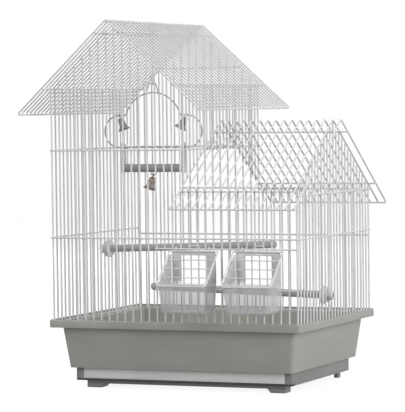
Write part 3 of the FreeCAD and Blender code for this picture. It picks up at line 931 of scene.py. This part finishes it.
@dataclass(frozen=True)
class Gable:
    """A gabled roof's lines: heights in millimetres above the lip, at offsets from the ridge."""

    wall: float
    overhang: float
    ridge: float
    eaves: tuple[float, float]
    cross_inset: float
    ridge_wire: bool
    wire: float = 2.5
    film: float = 0.02
    near_ridge_share: float = 0.12

    @property
    def half_span(self) -> float:
        """From the ridge to an eave, on the level."""
        return self.wall + self.overhang

    def eave(self, side: float) -> float:
        """Height of the eave on one side."""
        return self.eaves[1 if side > 0 else 0]

    def fall(self, side: float) -> float:
        """How far the slope on one side falls."""
        return self.ridge - self.eave(side)

    def slope(self, side: float) -> float:
        """A wire's length along the slope, for each unit on the level."""
        return math.hypot(self.half_span, self.fall(side)) / self.half_span

    def wire_rise(self, offset: float) -> float:
        """Height of the bent wires' middles."""
        return self.ridge - self.fall(offset) * abs(offset) / self.half_span

    def cross_rise(self, offset: float) -> float:
        """Height of the middle of a straight wire that lies under the bent ones."""
        steepest = self.slope(offset) if offset else max(self.slope(side) for side in SIDES)
        return self.wire_rise(offset) - (self.wire + self.film) * steepest

    def cross_offsets(self) -> list[float]:
        """Offsets of the straight wires.

        Returns:
            The offsets, on both sides of the ridge.
        """
        near, eave = self.near_ridge_share * self.half_span, self.half_span - self.wire / 2
        offsets = [side * offset for offset in (near, self.wall - self.cross_inset, eave) for side in SIDES]
        return offsets + ([0.0] if self.ridge_wire else [])

    def bar_top(self, offset: float) -> float:
        """Height where an upright bar ends under the roof.

        Args:
            offset: the bar's offset from the ridge.

        Returns:
            The height of the bar's end.
        """
        radius = self.wire / 2
        top = self.wire_rise(offset + math.copysign(radius, offset)) - radius * self.slope(offset) - self.film
        for cross in self.cross_offsets():
            if abs(cross - offset) < self.wire + self.film:
                top = min(top, self.cross_rise(cross) - radius - self.film)
        return top


@dataclass
class WireHouse:
    """The tall house and the low one: walls and roofs of welded wire, in millimetres."""

    layout: Layout
    finish: Finish
    wire: float = 2.5
    film: float = 0.02
    pitch: float = 12.7
    front_spaces: int = 30
    side_spaces: int = 24
    tall_spaces: int = 16
    bar_sink: float = 6.0
    low_rise: float = -4.73
    middle_rise: float = 119.8
    back_middle_rise: float = 110.8
    upper_rise: float = 247.1
    gable_rise: float = 368.0
    low_top_rise: float = 181.0
    front_top_rise: float = 187.3
    feeder_low_rise: float = 47.4
    feeder_top_rise: float = 105.4
    feeder_right_bars: tuple[int, int] = (9, 1)
    feeder_spaces: int = 6
    feeder_wire_spaces: int = 17
    feeder_slips: tuple[float, float] = (3.1, 6.0)
    arch_width: float = 15.0
    arch_height: float = 3.8
    arch_wire: float = 1.6
    arch_bend: float = 1.8
    arch_flats: int = 8
    arch_steps: int = 4
    panel_tail: float = 3.0
    tall_end_wires: int = 2
    low_end_wires: int = 1
    ridge_bend: float = 3.2

    def __post_init__(self) -> None:
        """Work out the walls' places and the roofs' lines."""
        self.right_x = self.front_spaces * self.pitch / 2
        self.left_x = -self.right_x
        self.back_y = self.side_spaces * self.pitch / 2
        self.front_y = -self.back_y
        self.mid_x = self.left_x + self.tall_spaces * self.pitch
        self.ridge_x = (self.left_x + self.mid_x) / 2
        self.step = self.wire + self.film
        self.tall = Gable(
            self.mid_x - self.ridge_x,
            overhang=40.7,
            ridge=435.4,
            eaves=(302.1, 306.6),
            cross_inset=0.0,
            ridge_wire=True,
        )
        self.low = Gable(
            self.back_y,
            overhang=43.8,
            ridge=287.2,
            eaves=(165.5, 160.8),
            cross_inset=5.0,
            ridge_wire=False,
        )
        self.stock = WireStock(self.wire)

    def build(self) -> None:
        """Build the walls and the roofs."""
        self.front_wall()
        self.back_wall()
        self.side_walls()
        self.tall_roof()
        self.low_roof()
        self.stock.put_away()

    def upright(self, x: float, y: float, low: float, high: float) -> Span:
        """The ends of an upright bar."""
        return self.layout.at(x, y, low), self.layout.at(x, y, high)

    def along_x(self, y: float, spans: Sequence[tuple[float, float, float]]) -> list[Span]:
        """The ends of wires along the front or back, each past its first and last bar, at its height."""
        at, radius = self.layout.at, self.wire / 2
        return [(at(start - radius, y, rise), at(end + radius, y, rise)) for start, end, rise in spans]

    def along_y(self, x: float, rises: Sequence[float]) -> list[Span]:
        """The ends of wires along a side, past the bars at its ends, at each height."""
        at, reach = self.layout.at, self.back_y + self.wire / 2
        return [(at(x, -reach, rise), at(x, reach, rise)) for rise in rises]

    def panel(self, side: str, bars: list[Span], crosses: list[Span], more: Sequence[Piece] = ()) -> None:
        """Weld a wall from bars and crosswires, and set it in its place.

        Args:
            side: which wall.
            bars: the ends of its bars.
            crosses: the ends of its crosswires.
            more: other pieces that are part of it.
        """
        wires = [self.stock.wire(*span) for span in bars + crosses]
        wall = joined(wires + self.stock.welds(bars, crosses) + list(more), f"{side}_wall")
        settle(wall, self.finish, "cage", "wire", [f"{side}_panel"])

    def wall_bar(self, index: int, y: float) -> tuple[float, float]:
        """A front or back bar, counted from the right.

        Args:
            index: the bar's number.
            y: the wall's place.

        Returns:
            The bar's place along X, and the height of its top.
        """
        x = self.right_x - index * self.pitch
        in_tall = index >= self.front_spaces - self.tall_spaces
        return x, self.tall.bar_top(x - self.ridge_x) if in_tall else self.low.bar_top(y)

    def front_wall(self) -> None:
        """The front wall, open at the two feeders."""
        bars = []
        for index in range(self.front_spaces + 1):
            x, top = self.wall_bar(index, self.front_y)
            ends = [(-self.bar_sink, top)]
            if any(0 < index - right < self.feeder_spaces for right in self.feeder_right_bars):
                ends = [(-self.bar_sink, self.feeder_low_rise), (self.feeder_top_rise - self.wire / 2, top)]
            bars += [self.upright(x, self.front_y, low, high) for low, high in ends]
        outside = self.front_y - self.step
        feeder_end = self.right_x - self.feeder_wire_spaces * self.pitch
        spans = (
            (self.left_x, self.right_x, self.low_rise),
            (feeder_end, self.right_x, self.feeder_low_rise),
            (feeder_end, self.right_x, self.feeder_top_rise),
            (self.left_x, self.right_x, self.middle_rise),
            (self.mid_x, self.right_x, self.front_top_rise),
            (self.left_x, self.mid_x, self.upper_rise),
        )
        arches = []
        for right, slip in zip(self.feeder_right_bars, self.feeder_slips):
            middle = self.right_x - (right + self.feeder_spaces / 2) * self.pitch - slip
            arches.append(self.feeder_arch(middle, outside))
        self.panel("front", bars, self.along_x(outside, spans), arches)

    def feeder_arch(self, middle: float, y: float) -> Piece:
        """The small arch on a feeder's top wire, bent from thin wire.

        Args:
            middle: its middle along X.
            y: its place along Y.

        Returns:
            The arch.
        """
        foot = self.feeder_top_rise + self.wire / 2 - self.film
        start = self.layout.at(middle - self.arch_width / 2, y, foot)
        leg = (self.arch_height - self.arch_bend) * MM
        span = (self.arch_width - 2 * self.arch_bend) * MM
        bender = WireBender("feeder_arch", start, UP, self.arch_wire, self.arch_flats)
        return bender.bow(leg, span, BACK, 90.0, self.arch_bend, self.arch_steps).cut()

    def back_wall(self) -> None:
        """The back wall, with one more crosswire in its gable."""
        bars = []
        for index in range(self.front_spaces + 1):
            x, top = self.wall_bar(index, self.back_y)
            bars.append(self.upright(x, self.back_y, -self.bar_sink, top))
        ends = []
        for side in SIDES:
            reach = self.tall.half_span * (self.tall.ridge - self.gable_rise) / self.tall.fall(side)
            ends.append(self.ridge_x + side * (reach - self.wire * self.tall.slope(side)))
        spans = (
            (self.left_x, self.right_x, self.low_rise),
            (self.left_x, self.right_x, self.back_middle_rise),
            (self.mid_x, self.right_x, self.low_top_rise),
            (self.left_x, self.mid_x, self.upper_rise),
            (*ends, self.gable_rise),
        )
        self.panel("back", bars, self.along_x(self.back_y + self.step, spans))

    def side_walls(self) -> None:
        """The tall house's left wall, the low house's right wall, and the upper wall between the two."""
        sink, low, middle, upper = -self.bar_sink, self.low_rise, self.middle_rise, self.upper_rise
        left_top, upper_top = (self.tall.bar_top(side * self.tall.wall) for side in SIDES)
        places = [self.front_y + step * self.pitch for step in range(1, self.side_spaces)]
        bars = [self.upright(self.left_x, y, sink, left_top) for y in places]
        self.panel("left", bars, self.along_y(self.left_x - self.step, (low, middle, upper)))
        bars = [self.upright(self.right_x, y, sink, self.low.bar_top(y)) for y in places]
        self.panel("right", bars, self.along_y(self.right_x + self.step, (low, middle, self.low_top_rise)))
        feet = [min(self.low.wire_rise(y), upper) - self.panel_tail for y in places]
        bars = [self.upright(self.mid_x, y, foot, upper_top) for y, foot in zip(places, feet)]
        self.panel("upper", bars, self.along_y(self.mid_x - self.step, (upper,)))

    def bent_roof_wire(
        self, gable: Gable, point: Callable[[float, float], Vector], axis: Vector
    ) -> Piece:
        """One roof wire, bent over the ridge.

        Args:
            gable: the roof's lines.
            point: gives a place from an offset and a height.
            axis: the ridge's direction, about which the wire turns on from its first eave.

        Returns:
            The wire.
        """
        ends = [point(side * gable.half_span, gable.eave(side)) for side in SIDES]
        apex = point(0.0, gable.ridge)
        runs = (apex - ends[0], ends[1] - apex)
        angle = runs[0].angle(runs[1])
        saved = self.ridge_bend * math.tan(angle / 2) * MM
        bender = WireBender("roof_wire", ends[0], runs[0], self.wire)
        bender.run(runs[0].length - saved).corner(axis, math.degrees(angle), self.ridge_bend)
        return bender.run(runs[1].length - saved).cut(WireStock.END_EASE * self.wire)

    def roof(
        self, node: str, gable: Gable, places: Sequence[float], reach: tuple[float, float], ridge: Axis
    ) -> None:
        """A roof of bent wires with straight ones under them.

        Args:
            node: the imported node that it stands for.
            gable: the roof's lines.
            places: the bent wires' places along the ridge.
            reach: where the straight wires start and end.
            ridge: the axis that the ridge runs along.
        """

        def point(offset: float, rise: float, place: float = 0.0) -> Vector:
            """A place on the roof, from an offset, a height and a place along the ridge."""
            if ridge is Axis.DEPTH:
                return self.layout.at(self.ridge_x + offset, place, rise)
            return self.layout.at(place, offset, rise)

        along, axis = (BACK, BACK) if ridge is Axis.DEPTH else (RIGHT, -RIGHT)
        pattern = self.bent_roof_wire(gable, point, axis)
        wires = [copied(pattern, "roof_wire", Matrix.Translation(along * place * MM)) for place in places]
        bpy.data.objects.remove(pattern)
        crosses = []
        for offset in gable.cross_offsets():
            rise = gable.cross_rise(offset)
            crosses.append(tuple(point(offset, rise, end) for end in reach))
        slopes = []
        for place in places:
            apex = point(0.0, gable.ridge, place)
            slopes += [(apex, point(side * gable.half_span, gable.eave(side), place)) for side in SIDES]
        wires += [self.stock.wire(*span) for span in crosses]
        wires += self.stock.welds(slopes, crosses)
        settle(joined(wires, f"{node}_wires"), self.finish, "cage", "wire", [node])

    def tall_roof(self) -> None:
        """The tall roof, with its ridge from front to back."""
        first = self.front_y - self.tall_end_wires * self.pitch
        count = self.side_spaces + 2 * self.tall_end_wires + 1
        places = [first + step * self.pitch for step in range(count)]
        reach = (places[0] - self.wire / 2, places[-1] + self.wire / 2)
        self.roof("tall_roof", self.tall, places, reach, Axis.DEPTH)

    def low_roof(self) -> None:
        """The low roof, with its ridge from the tall house to the right."""
        low_spaces = self.front_spaces - self.tall_spaces
        places = [self.mid_x + self.step]
        places += [self.right_x - step * self.pitch for step in range(-self.low_end_wires, low_spaces)]
        end = self.right_x + self.low_end_wires * self.pitch + self.wire / 2
        self.roof("low_roof", self.low, places, (self.mid_x + self.step / 2, end), Axis.WIDTH)


@dataclass
class Base:
    """The tub, the plinth with its feet, and the drawer, in millimetres."""

    lip_ease: float = 0.2
    corner: float = 16.0
    plinth_ease: float = 0.6
    drawer_ease: float = 0.5
    front_height_share: float = 0.98
    front_slant: float = 3.4
    front_proud: float = 0.6
    front_depth: float = 2.4
    front_inset_share: float = 0.24
    front_bow: float = 0.5
    front_ease: float = 0.48
    front_segments: int = 3
    front_eased_past: float = 30.0
    facing: float = 0.9

    def build(self) -> None:
        """Build the base's pieces."""
        low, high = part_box("base_tub")
        inset = (RIGHT + BACK) * (self.corner * MM)
        mould("base_tub", "tub", GREY_TUB, "tub", self.lip_ease, cuts=(low + inset, high - inset))
        mould("plinth", "plinth_frame", SHADED_PLINTH, "plinth", self.plinth_ease)
        mould("feet", "feet_pads", SHADED_PLINTH, "plinth", self.plinth_ease)
        mould("drawer", "drawer_tray", PALE_DRAWER, "drawer", self.drawer_ease, body="drawer")
        self.drawer_front()

    def drawer_front(self) -> None:
        """The drawer's pale front: a bowed band, narrower at its foot, set on the tray's front wall."""
        low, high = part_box("drawer")
        width = high.x - low.x
        depth = self.front_depth * MM
        height = (high.z - low.z) * self.front_height_share
        middle = (low + high) / 2
        middle.y = low.y + depth / 2 - self.front_proud * MM
        front = added(
            bpy.ops.mesh.primitive_cube_add,
            "drawer_front",
            size=1.0,
            location=middle,
            scale=(width, depth, height),
        )
        with editing(front):
            pick(front, Element.FACE, lambda face: face.normal.z < -self.facing)
            narrowed = 1.0 - 2 * self.front_slant * MM / width
            bpy.ops.transform.resize(value=(narrowed, 1.0, 1.0), center_override=middle)
            pick(front, Element.FACE, lambda face: face.normal.y < -self.facing)
            bpy.ops.mesh.inset(thickness=height * self.front_inset_share)
            bpy.ops.transform.translate(value=BACK * (-self.front_bow * MM))
        ease_edges(front, self.front_ease, self.front_segments, self.front_eased_past)
        settle(front, PALE_DRAWER, "drawer", "drawer")


@dataclass
class Feeders:
    """The two clear cups, and the wire hoods that hinge over them, in millimetres."""

    layout: Layout
    wire: float = 2.5
    rib_wire: float = 1.8
    eye_wire: float = 1.8
    ribs: int = 3
    lowest_rib_up: float = 3.4
    fit: float = 0.08
    film: float = 0.02
    rail: float = 2.5
    bend: float = 5.0
    frame_ease: float = 0.5
    rib_ease: float = 0.3
    eye_turn: float = 352.0
    eye_steps: int = 22
    cup_ease: float = 0.45
    bead_wire: float = 2.0
    bead_drop: float = 0.3
    bead_bend: float = 7.0
    bead_depth: float = 30.0
    bead_ease: float = 0.3
    opening_left_bars: tuple[float, float] = (0.0, 101.6)
    eye_spaces: tuple[float, float] = (0.5, 4.5)
    pitch: float = 12.7

    def build(self) -> None:
        """Build both feeders."""
        for side, opening_left in zip(("left", "right"), self.opening_left_bars):
            mould(f"{side}_cup", f"{side}_feeder_cup", CLEAR_CUP, "cup", self.cup_ease)
            self.rim_bead(side)
            self.hood(side, opening_left)

    def rim_bead(self, side: str) -> None:
        """The rounded bead along a cup's front rim and back along its cheeks.

        Args:
            side: which cup.
        """
        low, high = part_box(f"{side}_cup")
        hood_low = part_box(f"{side}_hood")[0]
        radius, bend, depth = self.bead_wire / 2 * MM, self.bead_bend * MM, self.bead_depth * MM
        start = Vector((low.x + radius, low.y + depth, hood_low.z - self.bead_drop * MM - radius))
        span = high.x - low.x - 2 * (radius + bend)
        bender = WireBender(f"{side}_cup_bead", start, -BACK, self.bead_wire)
        bead = bender.bow(depth - radius - bend, span, UP, 90.0, self.bead_bend).cut(self.bead_ease)
        settle(bead, CLEAR_CUP, "cage", "cup")

    def hood(self, side: str, opening_left: float) -> None:
        """A hood: a bent frame with ribs, on eyes round the feeder's top wire.

        Args:
            side: which feeder.
            opening_left: where the feeder opening's left bar stands.
        """
        pivot = joint_place(f"{side}_hood_hinge")
        low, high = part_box(f"{side}_hood")
        radius, bend = self.wire / 2 * MM, self.bend * MM
        half = (high.x - low.x) / 2 - radius
        foot = Vector((pivot.x, low.y + radius, low.z + radius))
        down = (foot - pivot).normalized()
        out = RIGHT.cross(down)
        length = (foot - pivot).length
        eye_radius = ((self.rail + self.eye_wire) / 2 + self.fit) * MM
        top = eye_radius + (self.eye_wire / 2 + self.film) * MM + radius
        bender = WireBender(f"{side}_flap", pivot + down * top - RIGHT * half, down, self.wire, WIRE_FLATS)
        bender.bow(length - top - bend, 2 * (half - bend), out, -90.0, self.bend)
        wires = [bender.cut(self.frame_ease)]
        spacing = (length - top) / (self.ribs + 1)
        bars = [(top, half + radius, self.wire)]
        bars += [(top + spacing * rib, half, self.rib_wire) for rib in range(1, self.ribs + 1)]
        bars.append((length - self.lowest_rib_up * MM, half - 2 * radius, self.rib_wire))
        for place, reach, dia in bars:
            rib = WireBender("rib", pivot + down * place - RIGHT * reach, RIGHT, dia)
            wires.append(rib.run(2 * reach).cut(self.rib_ease))
        for spaces in self.eye_spaces:
            eye_x = self.layout.at(opening_left + spaces * self.pitch, 0.0, 0.0).x
            centre = Vector((eye_x, pivot.y, pivot.z))
            eye = WireBender("eye", centre + down * eye_radius, out, self.eye_wire)
            wires.append(eye.turn(centre, RIGHT, self.eye_turn, self.eye_steps).cut())
        settle(joined(wires, f"{side}_flap"), WHITE_ENAMEL, f"{side}_hood", "wire", [f"{side}_hood"])


@dataclass
class Perches:
    """The two fixed perches, each with its washer inside the wall and its knob outside, in millimetres."""

    rod_ease: float = 0.8
    washer_ease: float = 0.7
    knob_ease: float = 1.0
    segments: int = 3

    def build(self) -> None:
        """Build both perches."""
        ends = (("washer", self.washer_ease), ("knob", self.knob_ease))
        for perch in ("upper_perch", "lower_perch"):
            mould(perch, f"{perch}_rod", GREY_PERCH, "perch", self.rod_ease, segments=self.segments)
            for end, ease in ends:
                node = f"{perch}_{end}"
                mould(node, f"{node}_moulded", PALE_WASHER, "washer", ease, segments=self.segments)


@dataclass
class Swing:
    """The swing: its hanger, bent wire frame, straps and perch, in millimetres."""

    wire: float = 2.0
    hook_tail: float = 4.0
    hook_steps: int = 12
    hook_ease: float = 0.4
    bail_width: float = 12.0
    bail_foot_width: float = 20.0
    bail_height: float = 13.6
    bail_bend: float = 2.0
    bail_foot_share: float = 0.8
    arch_width: float = 88.0
    arch_height: float = 32.0
    arch_steps: int = 26
    shoulder_bend: float = 2.5
    loop_centre: float = 55.0
    loop_radius: float = 24.0
    loop_steps: int = 24
    holder_ease: float = 0.5
    perch_ease: float = 0.8

    def __post_init__(self) -> None:
        """Work out the arch and the heights below the pivot."""
        self.pivot = joint_place("swing_pivot")
        half = self.arch_width / 2
        self.arch_radius = (half**2 + self.arch_height**2) / (2 * self.arch_height)
        bend = math.asin(half / self.arch_radius)
        self.arch_turn = math.degrees(bend)
        self.shoulder_x = half + self.shoulder_bend * math.sin(bend)
        shoulder = -self.bail_height - self.arch_height - self.shoulder_bend * (1 - math.cos(bend))
        self.low_wire = shoulder - 2 * self.loop_radius

    def at(self, x: float, rise: float) -> Vector:
        """A place in the swing's plane, from millimetres beside and above its pivot."""
        return self.pivot + Vector((x * MM, 0.0, rise * MM))

    def build(self) -> None:
        """Build the swing's pieces."""
        self.hanger()
        self.frame_wire()
        mould("swing_holders", "swing_straps", PALE_HOLDER, "holder", self.holder_ease, body="swing")
        mould("swing_perch", "swing_bar", DARK_PERCH, "swing_perch", self.perch_ease, body="swing")

    def hanger(self) -> None:
        """The wire that hooks over the ridge and carries the bail."""
        low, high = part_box("swing_hanger")
        radius, tail = self.wire / 2 * MM, self.hook_tail * MM
        hook = (high.x - low.x) / 2 - radius
        hook_low = (high.y - low.y) / 2 - radius
        ridge = high.z - radius - hook
        start = Vector((low.x + radius, high.y - radius, ridge - tail))
        bender = WireBender("swing_hook", start, UP, self.wire, WIRE_FLATS)
        bender.run(tail).corner(BACK, 180.0, hook / MM, self.hook_steps)
        bender.run(ridge - self.pivot.z).corner(RIGHT, -180.0, hook_low / MM, self.hook_steps)
        hanger = bender.run(tail).cut(self.hook_ease)
        settle(hanger, WHITE_ENAMEL, "cage", "wire", ["swing_hanger"])

    def frame_wire(self) -> None:
        """The frame: one closed wire with a loop at each side, and the bail on its arch."""
        reach, flat = self.loop_centre * MM, (self.loop_centre - self.shoulder_x) * MM
        bender = WireBender("swing_wire", self.at(0.0, self.low_wire), RIGHT, self.wire, WIRE_FLATS)
        bender.run(reach).corner(BACK, -180.0, self.loop_radius, self.loop_steps)
        bender.run(flat).corner(BACK, self.arch_turn, self.shoulder_bend)
        bender.corner(BACK, -2 * self.arch_turn, self.arch_radius, self.arch_steps)
        bender.corner(BACK, self.arch_turn, self.shoulder_bend).run(flat)
        bender.corner(BACK, -180.0, self.loop_radius, self.loop_steps)
        wires = [bender.run(reach).close(), self.bail()]
        settle(joined(wires, "swing_wire"), SWING_STEEL, "swing", "swing_wire", ["swing_frame"])

    def bail(self) -> Piece:
        """The bail, whose legs spread from its top down to the arch.

        Returns:
            The bail.
        """
        half, foot_x = self.bail_width / 2, self.bail_foot_width / 2
        reach = self.arch_radius + self.bail_foot_share * self.wire
        foot = math.sqrt(reach**2 - foot_x**2) - self.bail_height - self.arch_radius
        lean = math.atan2(foot_x - half, -foot)
        start = self.at(-foot_x, foot)
        heading = Vector((math.sin(lean), 0.0, math.cos(lean)))
        inward = Vector((math.cos(lean), 0.0, -math.sin(lean)))
        shoulder = self.at(self.bail_bend - half, -self.bail_bend) - inward * (self.bail_bend * MM)
        leg, span = (shoulder - start).length, 2 * (half - self.bail_bend) * MM
        bender = WireBender("bail", start, heading, self.wire, WIRE_FLATS)
        return bender.bow(leg, span, BACK, 90.0 - math.degrees(lean), self.bail_bend).cut()


@dataclass
class Bell:
    """A spun bell with a rolled mouth, on a ring that turns on its pin, in millimetres."""

    name: str
    finish: Finish
    slot: str
    lean: float
    mouth: float = 19.0
    height: float = 18.5
    wall: float = 0.8
    flats: int = 28
    lip_ease: float = 0.2
    lip_segments: int = 2
    lip_eased_past: float = 60.0
    ring_wire: float = 1.2
    ring_steps: int = 20
    neck: float = 2.0
    neck_wire: float = 1.4
    neck_gap: float = 0.3
    outline_shares: tuple[tuple[float, float], ...] = (
        (0.10, 0.0),
        (0.28, 0.02),
        (0.40, 0.08),
        (0.47, 0.18),
        (0.50, 0.35),
        (0.53, 0.55),
        (0.59, 0.70),
        (0.70, 0.83),
        (0.86, 0.93),
        (1.0, 0.985),
        (1.0, 1.0),
    )

    def build(self) -> None:
        """Build the bell, lean it, and hang it on its pin."""
        node = f"{self.name}_bell"
        pivot = joint_place(f"{node}_ring")
        ring_radius = (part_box(node)[1].z - pivot.z) / MM - self.ring_wire / 2
        crown = pivot - UP * ((ring_radius + self.neck) * MM)
        shell = self.shell(crown)
        neck_top = pivot - UP * ((ring_radius + self.neck_gap) * MM)
        neck = WireBender("neck", neck_top, -UP, self.neck_wire)
        stem = neck.run((neck_top - crown).length + self.wall * MM).cut()
        leaning = joined([shell, stem], f"{node}_shell")
        turn = Matrix.Rotation(math.radians(self.lean), 4, "Y")
        leaning.data.transform(Matrix.Translation(pivot) @ turn @ Matrix.Translation(-pivot))
        ring = WireBender("ring", pivot + BACK * (ring_radius * MM), UP, self.ring_wire)
        hoop = ring.turn(pivot, RIGHT, 360.0, self.ring_steps).close()
        settle(joined([leaning, hoop], f"{node}_shell"), self.finish, node, self.slot, [node])

    def shell(self, crown: Vector) -> Piece:
        """The bell's shell, raised ring by ring from its mouth and given its wall.

        Args:
            crown: the middle of its top.

        Returns:
            The shell.
        """
        rings = list(reversed(self.outline_shares))
        mouth_share, mouth_drop = rings[0]
        shell = added(
            bpy.ops.mesh.primitive_circle_add,
            "shell",
            vertices=self.flats,
            radius=self.mouth / 2 * MM * mouth_share,
            location=crown - UP * (self.height * mouth_drop * MM),
        )
        with editing(shell):
            for (share_before, drop_before), (share, drop) in zip(rings, rings[1:]):
                rise = (drop_before - drop) * self.height * MM
                bpy.ops.mesh.extrude_region_move(TRANSFORM_OT_translate={"value": UP * rise})
                factor = share / share_before
                middle = crown - UP * (self.height * drop * MM)
                bpy.ops.transform.resize(value=(factor, factor, 1.0), center_override=middle)
            bpy.ops.mesh.edge_face_add()
            face_outwards()
        apply_modifier(shell, "SOLIDIFY", thickness=self.wall * MM, offset=-1.0)
        ease_edges(shell, self.lip_ease, self.lip_segments, self.lip_eased_past)
        return shell


@dataclass
class Staple:
    """The staple under the swing's perch that the low bell hangs from, in millimetres."""

    wire: float = 1.6
    bend: float = 1.4

    def build(self) -> None:
        """Bend the staple."""
        low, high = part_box("bell_staple")
        radius, bend = self.wire / 2 * MM, self.bend * MM
        start = Vector((low.x + radius, (low.y + high.y) / 2, high.z))
        leg = high.z - low.z - radius - bend
        span = high.x - low.x - 2 * (radius + bend)
        staple = WireBender("low_staple", start, -UP, self.wire).bow(leg, span, BACK, -90.0, self.bend).cut()
        settle(staple, SWING_STEEL, "swing", "swing_wire", ["bell_staple"])


@dataclass
class Studio:
    """The picture's floor, lights, background and camera."""

    eye: Point = (1514.08 * MM, -3596.165 * MM, 412.91 * MM)
    yaw: float = 22.839
    pitch: float = -2.202
    roll: float = 0.742
    focal_pixels: float = 2626.90
    long_side_pixels: float = 412.0
    sensor: float = 36.0
    sight: float = 100.0
    floor_half: float = 6.0
    sky: Colour = (0.41, 0.41, 0.415)
    aim_height: float = 0.27

    def build(self) -> None:
        """Make the camera, the floor, the background and the lamps."""
        self.set_camera()
        self.lay_floor()
        self.set_background()
        self.hang_lamp("key_softbox", (3.0, -0.9, 0.9), 2.0, 66.0)
        self.hang_lamp("front_softbox", (-1.2, -3.2, 1.1), 2.4, 36.0)
        self.hang_lamp("top_softbox", (-0.2, -0.5, 2.9), 1.8, 16.0)
        self.hang_lamp("back_softbox", (-1.6, 3.0, 1.5), 2.2, 24.0)
        bpy.context.scene.view_settings.view_transform = "Standard"

    def set_camera(self) -> None:
        """Put the camera where the photograph was taken from."""
        data = bpy.data.cameras.new("camera")
        data.sensor_width = self.sensor
        data.lens = self.focal_pixels / self.long_side_pixels * self.sensor
        data.clip_end = self.sight
        camera = linked("camera", data)
        turn = Matrix.Translation(self.eye)
        for degrees, axis in ((self.yaw, "Z"), (self.pitch, "X"), (self.roll, "Y"), (90.0, "X")):
            turn = turn @ Matrix.Rotation(math.radians(degrees), 4, axis)
        camera.matrix_world = turn
        bpy.context.scene.camera = camera

    def lay_floor(self) -> None:
        """Lay the pale floor."""
        floor = added(bpy.ops.mesh.primitive_plane_add, "floor", size=2 * self.floor_half)
        floor.data.materials.append(PALE_FLOOR.material())

    def set_background(self) -> None:
        """Show white behind the cage, and light it with a plain grey sky."""
        world = bpy.data.worlds.new("studio")
        world.use_nodes = True
        bpy.context.scene.world = world
        graph = Graph(world.node_tree)
        shader = world.node_tree.nodes["Background"]
        graph.join(shader.inputs["Color"], graph.blend(graph.seen_directly(), self.sky, (1.0, 1.0, 1.0)))

    def hang_lamp(self, name: str, place: Point, size: float, power: float) -> None:
        """Hang a square softbox that faces the cage.

        Args:
            name: the lamp's name.
            place: where it hangs, in metres.
            size: the length of its sides, in metres.
            power: its power, in watts.
        """
        data = bpy.data.lights.new(name, "AREA")
        data.size = size
        data.energy = power
        aim = UP * self.aim_height - Vector(place)
        turn = aim.to_track_quat("-Z", "Y").to_matrix().to_4x4()
        linked(name, data).matrix_world = Matrix.Translation(place) @ turn


def main() -> None:
    """Dress the cage, piece by piece, and set up the studio."""
    logging.basicConfig(level=logging.INFO, format="%(message)s")
    layout = Layout.from_frame()
    Base().build()
    WireHouse(layout, WHITE_ENAMEL).build()
    Feeders(layout).build()
    Perches().build()
    Swing().build()
    Staple().build()
    Bell("left", BELL_PLATE, "bell", -20.0).build()
    Bell("right", BELL_PLATE, "bell", 30.0).build()
    Bell("low", DULL_BRASS, "low_bell", 19.0, mouth=20.5).build()
    for node, finish in NODE_FINISHES.items():
        dress_node(node, finish)
    Studio().build()


if __name__ == "__main__":
    main()
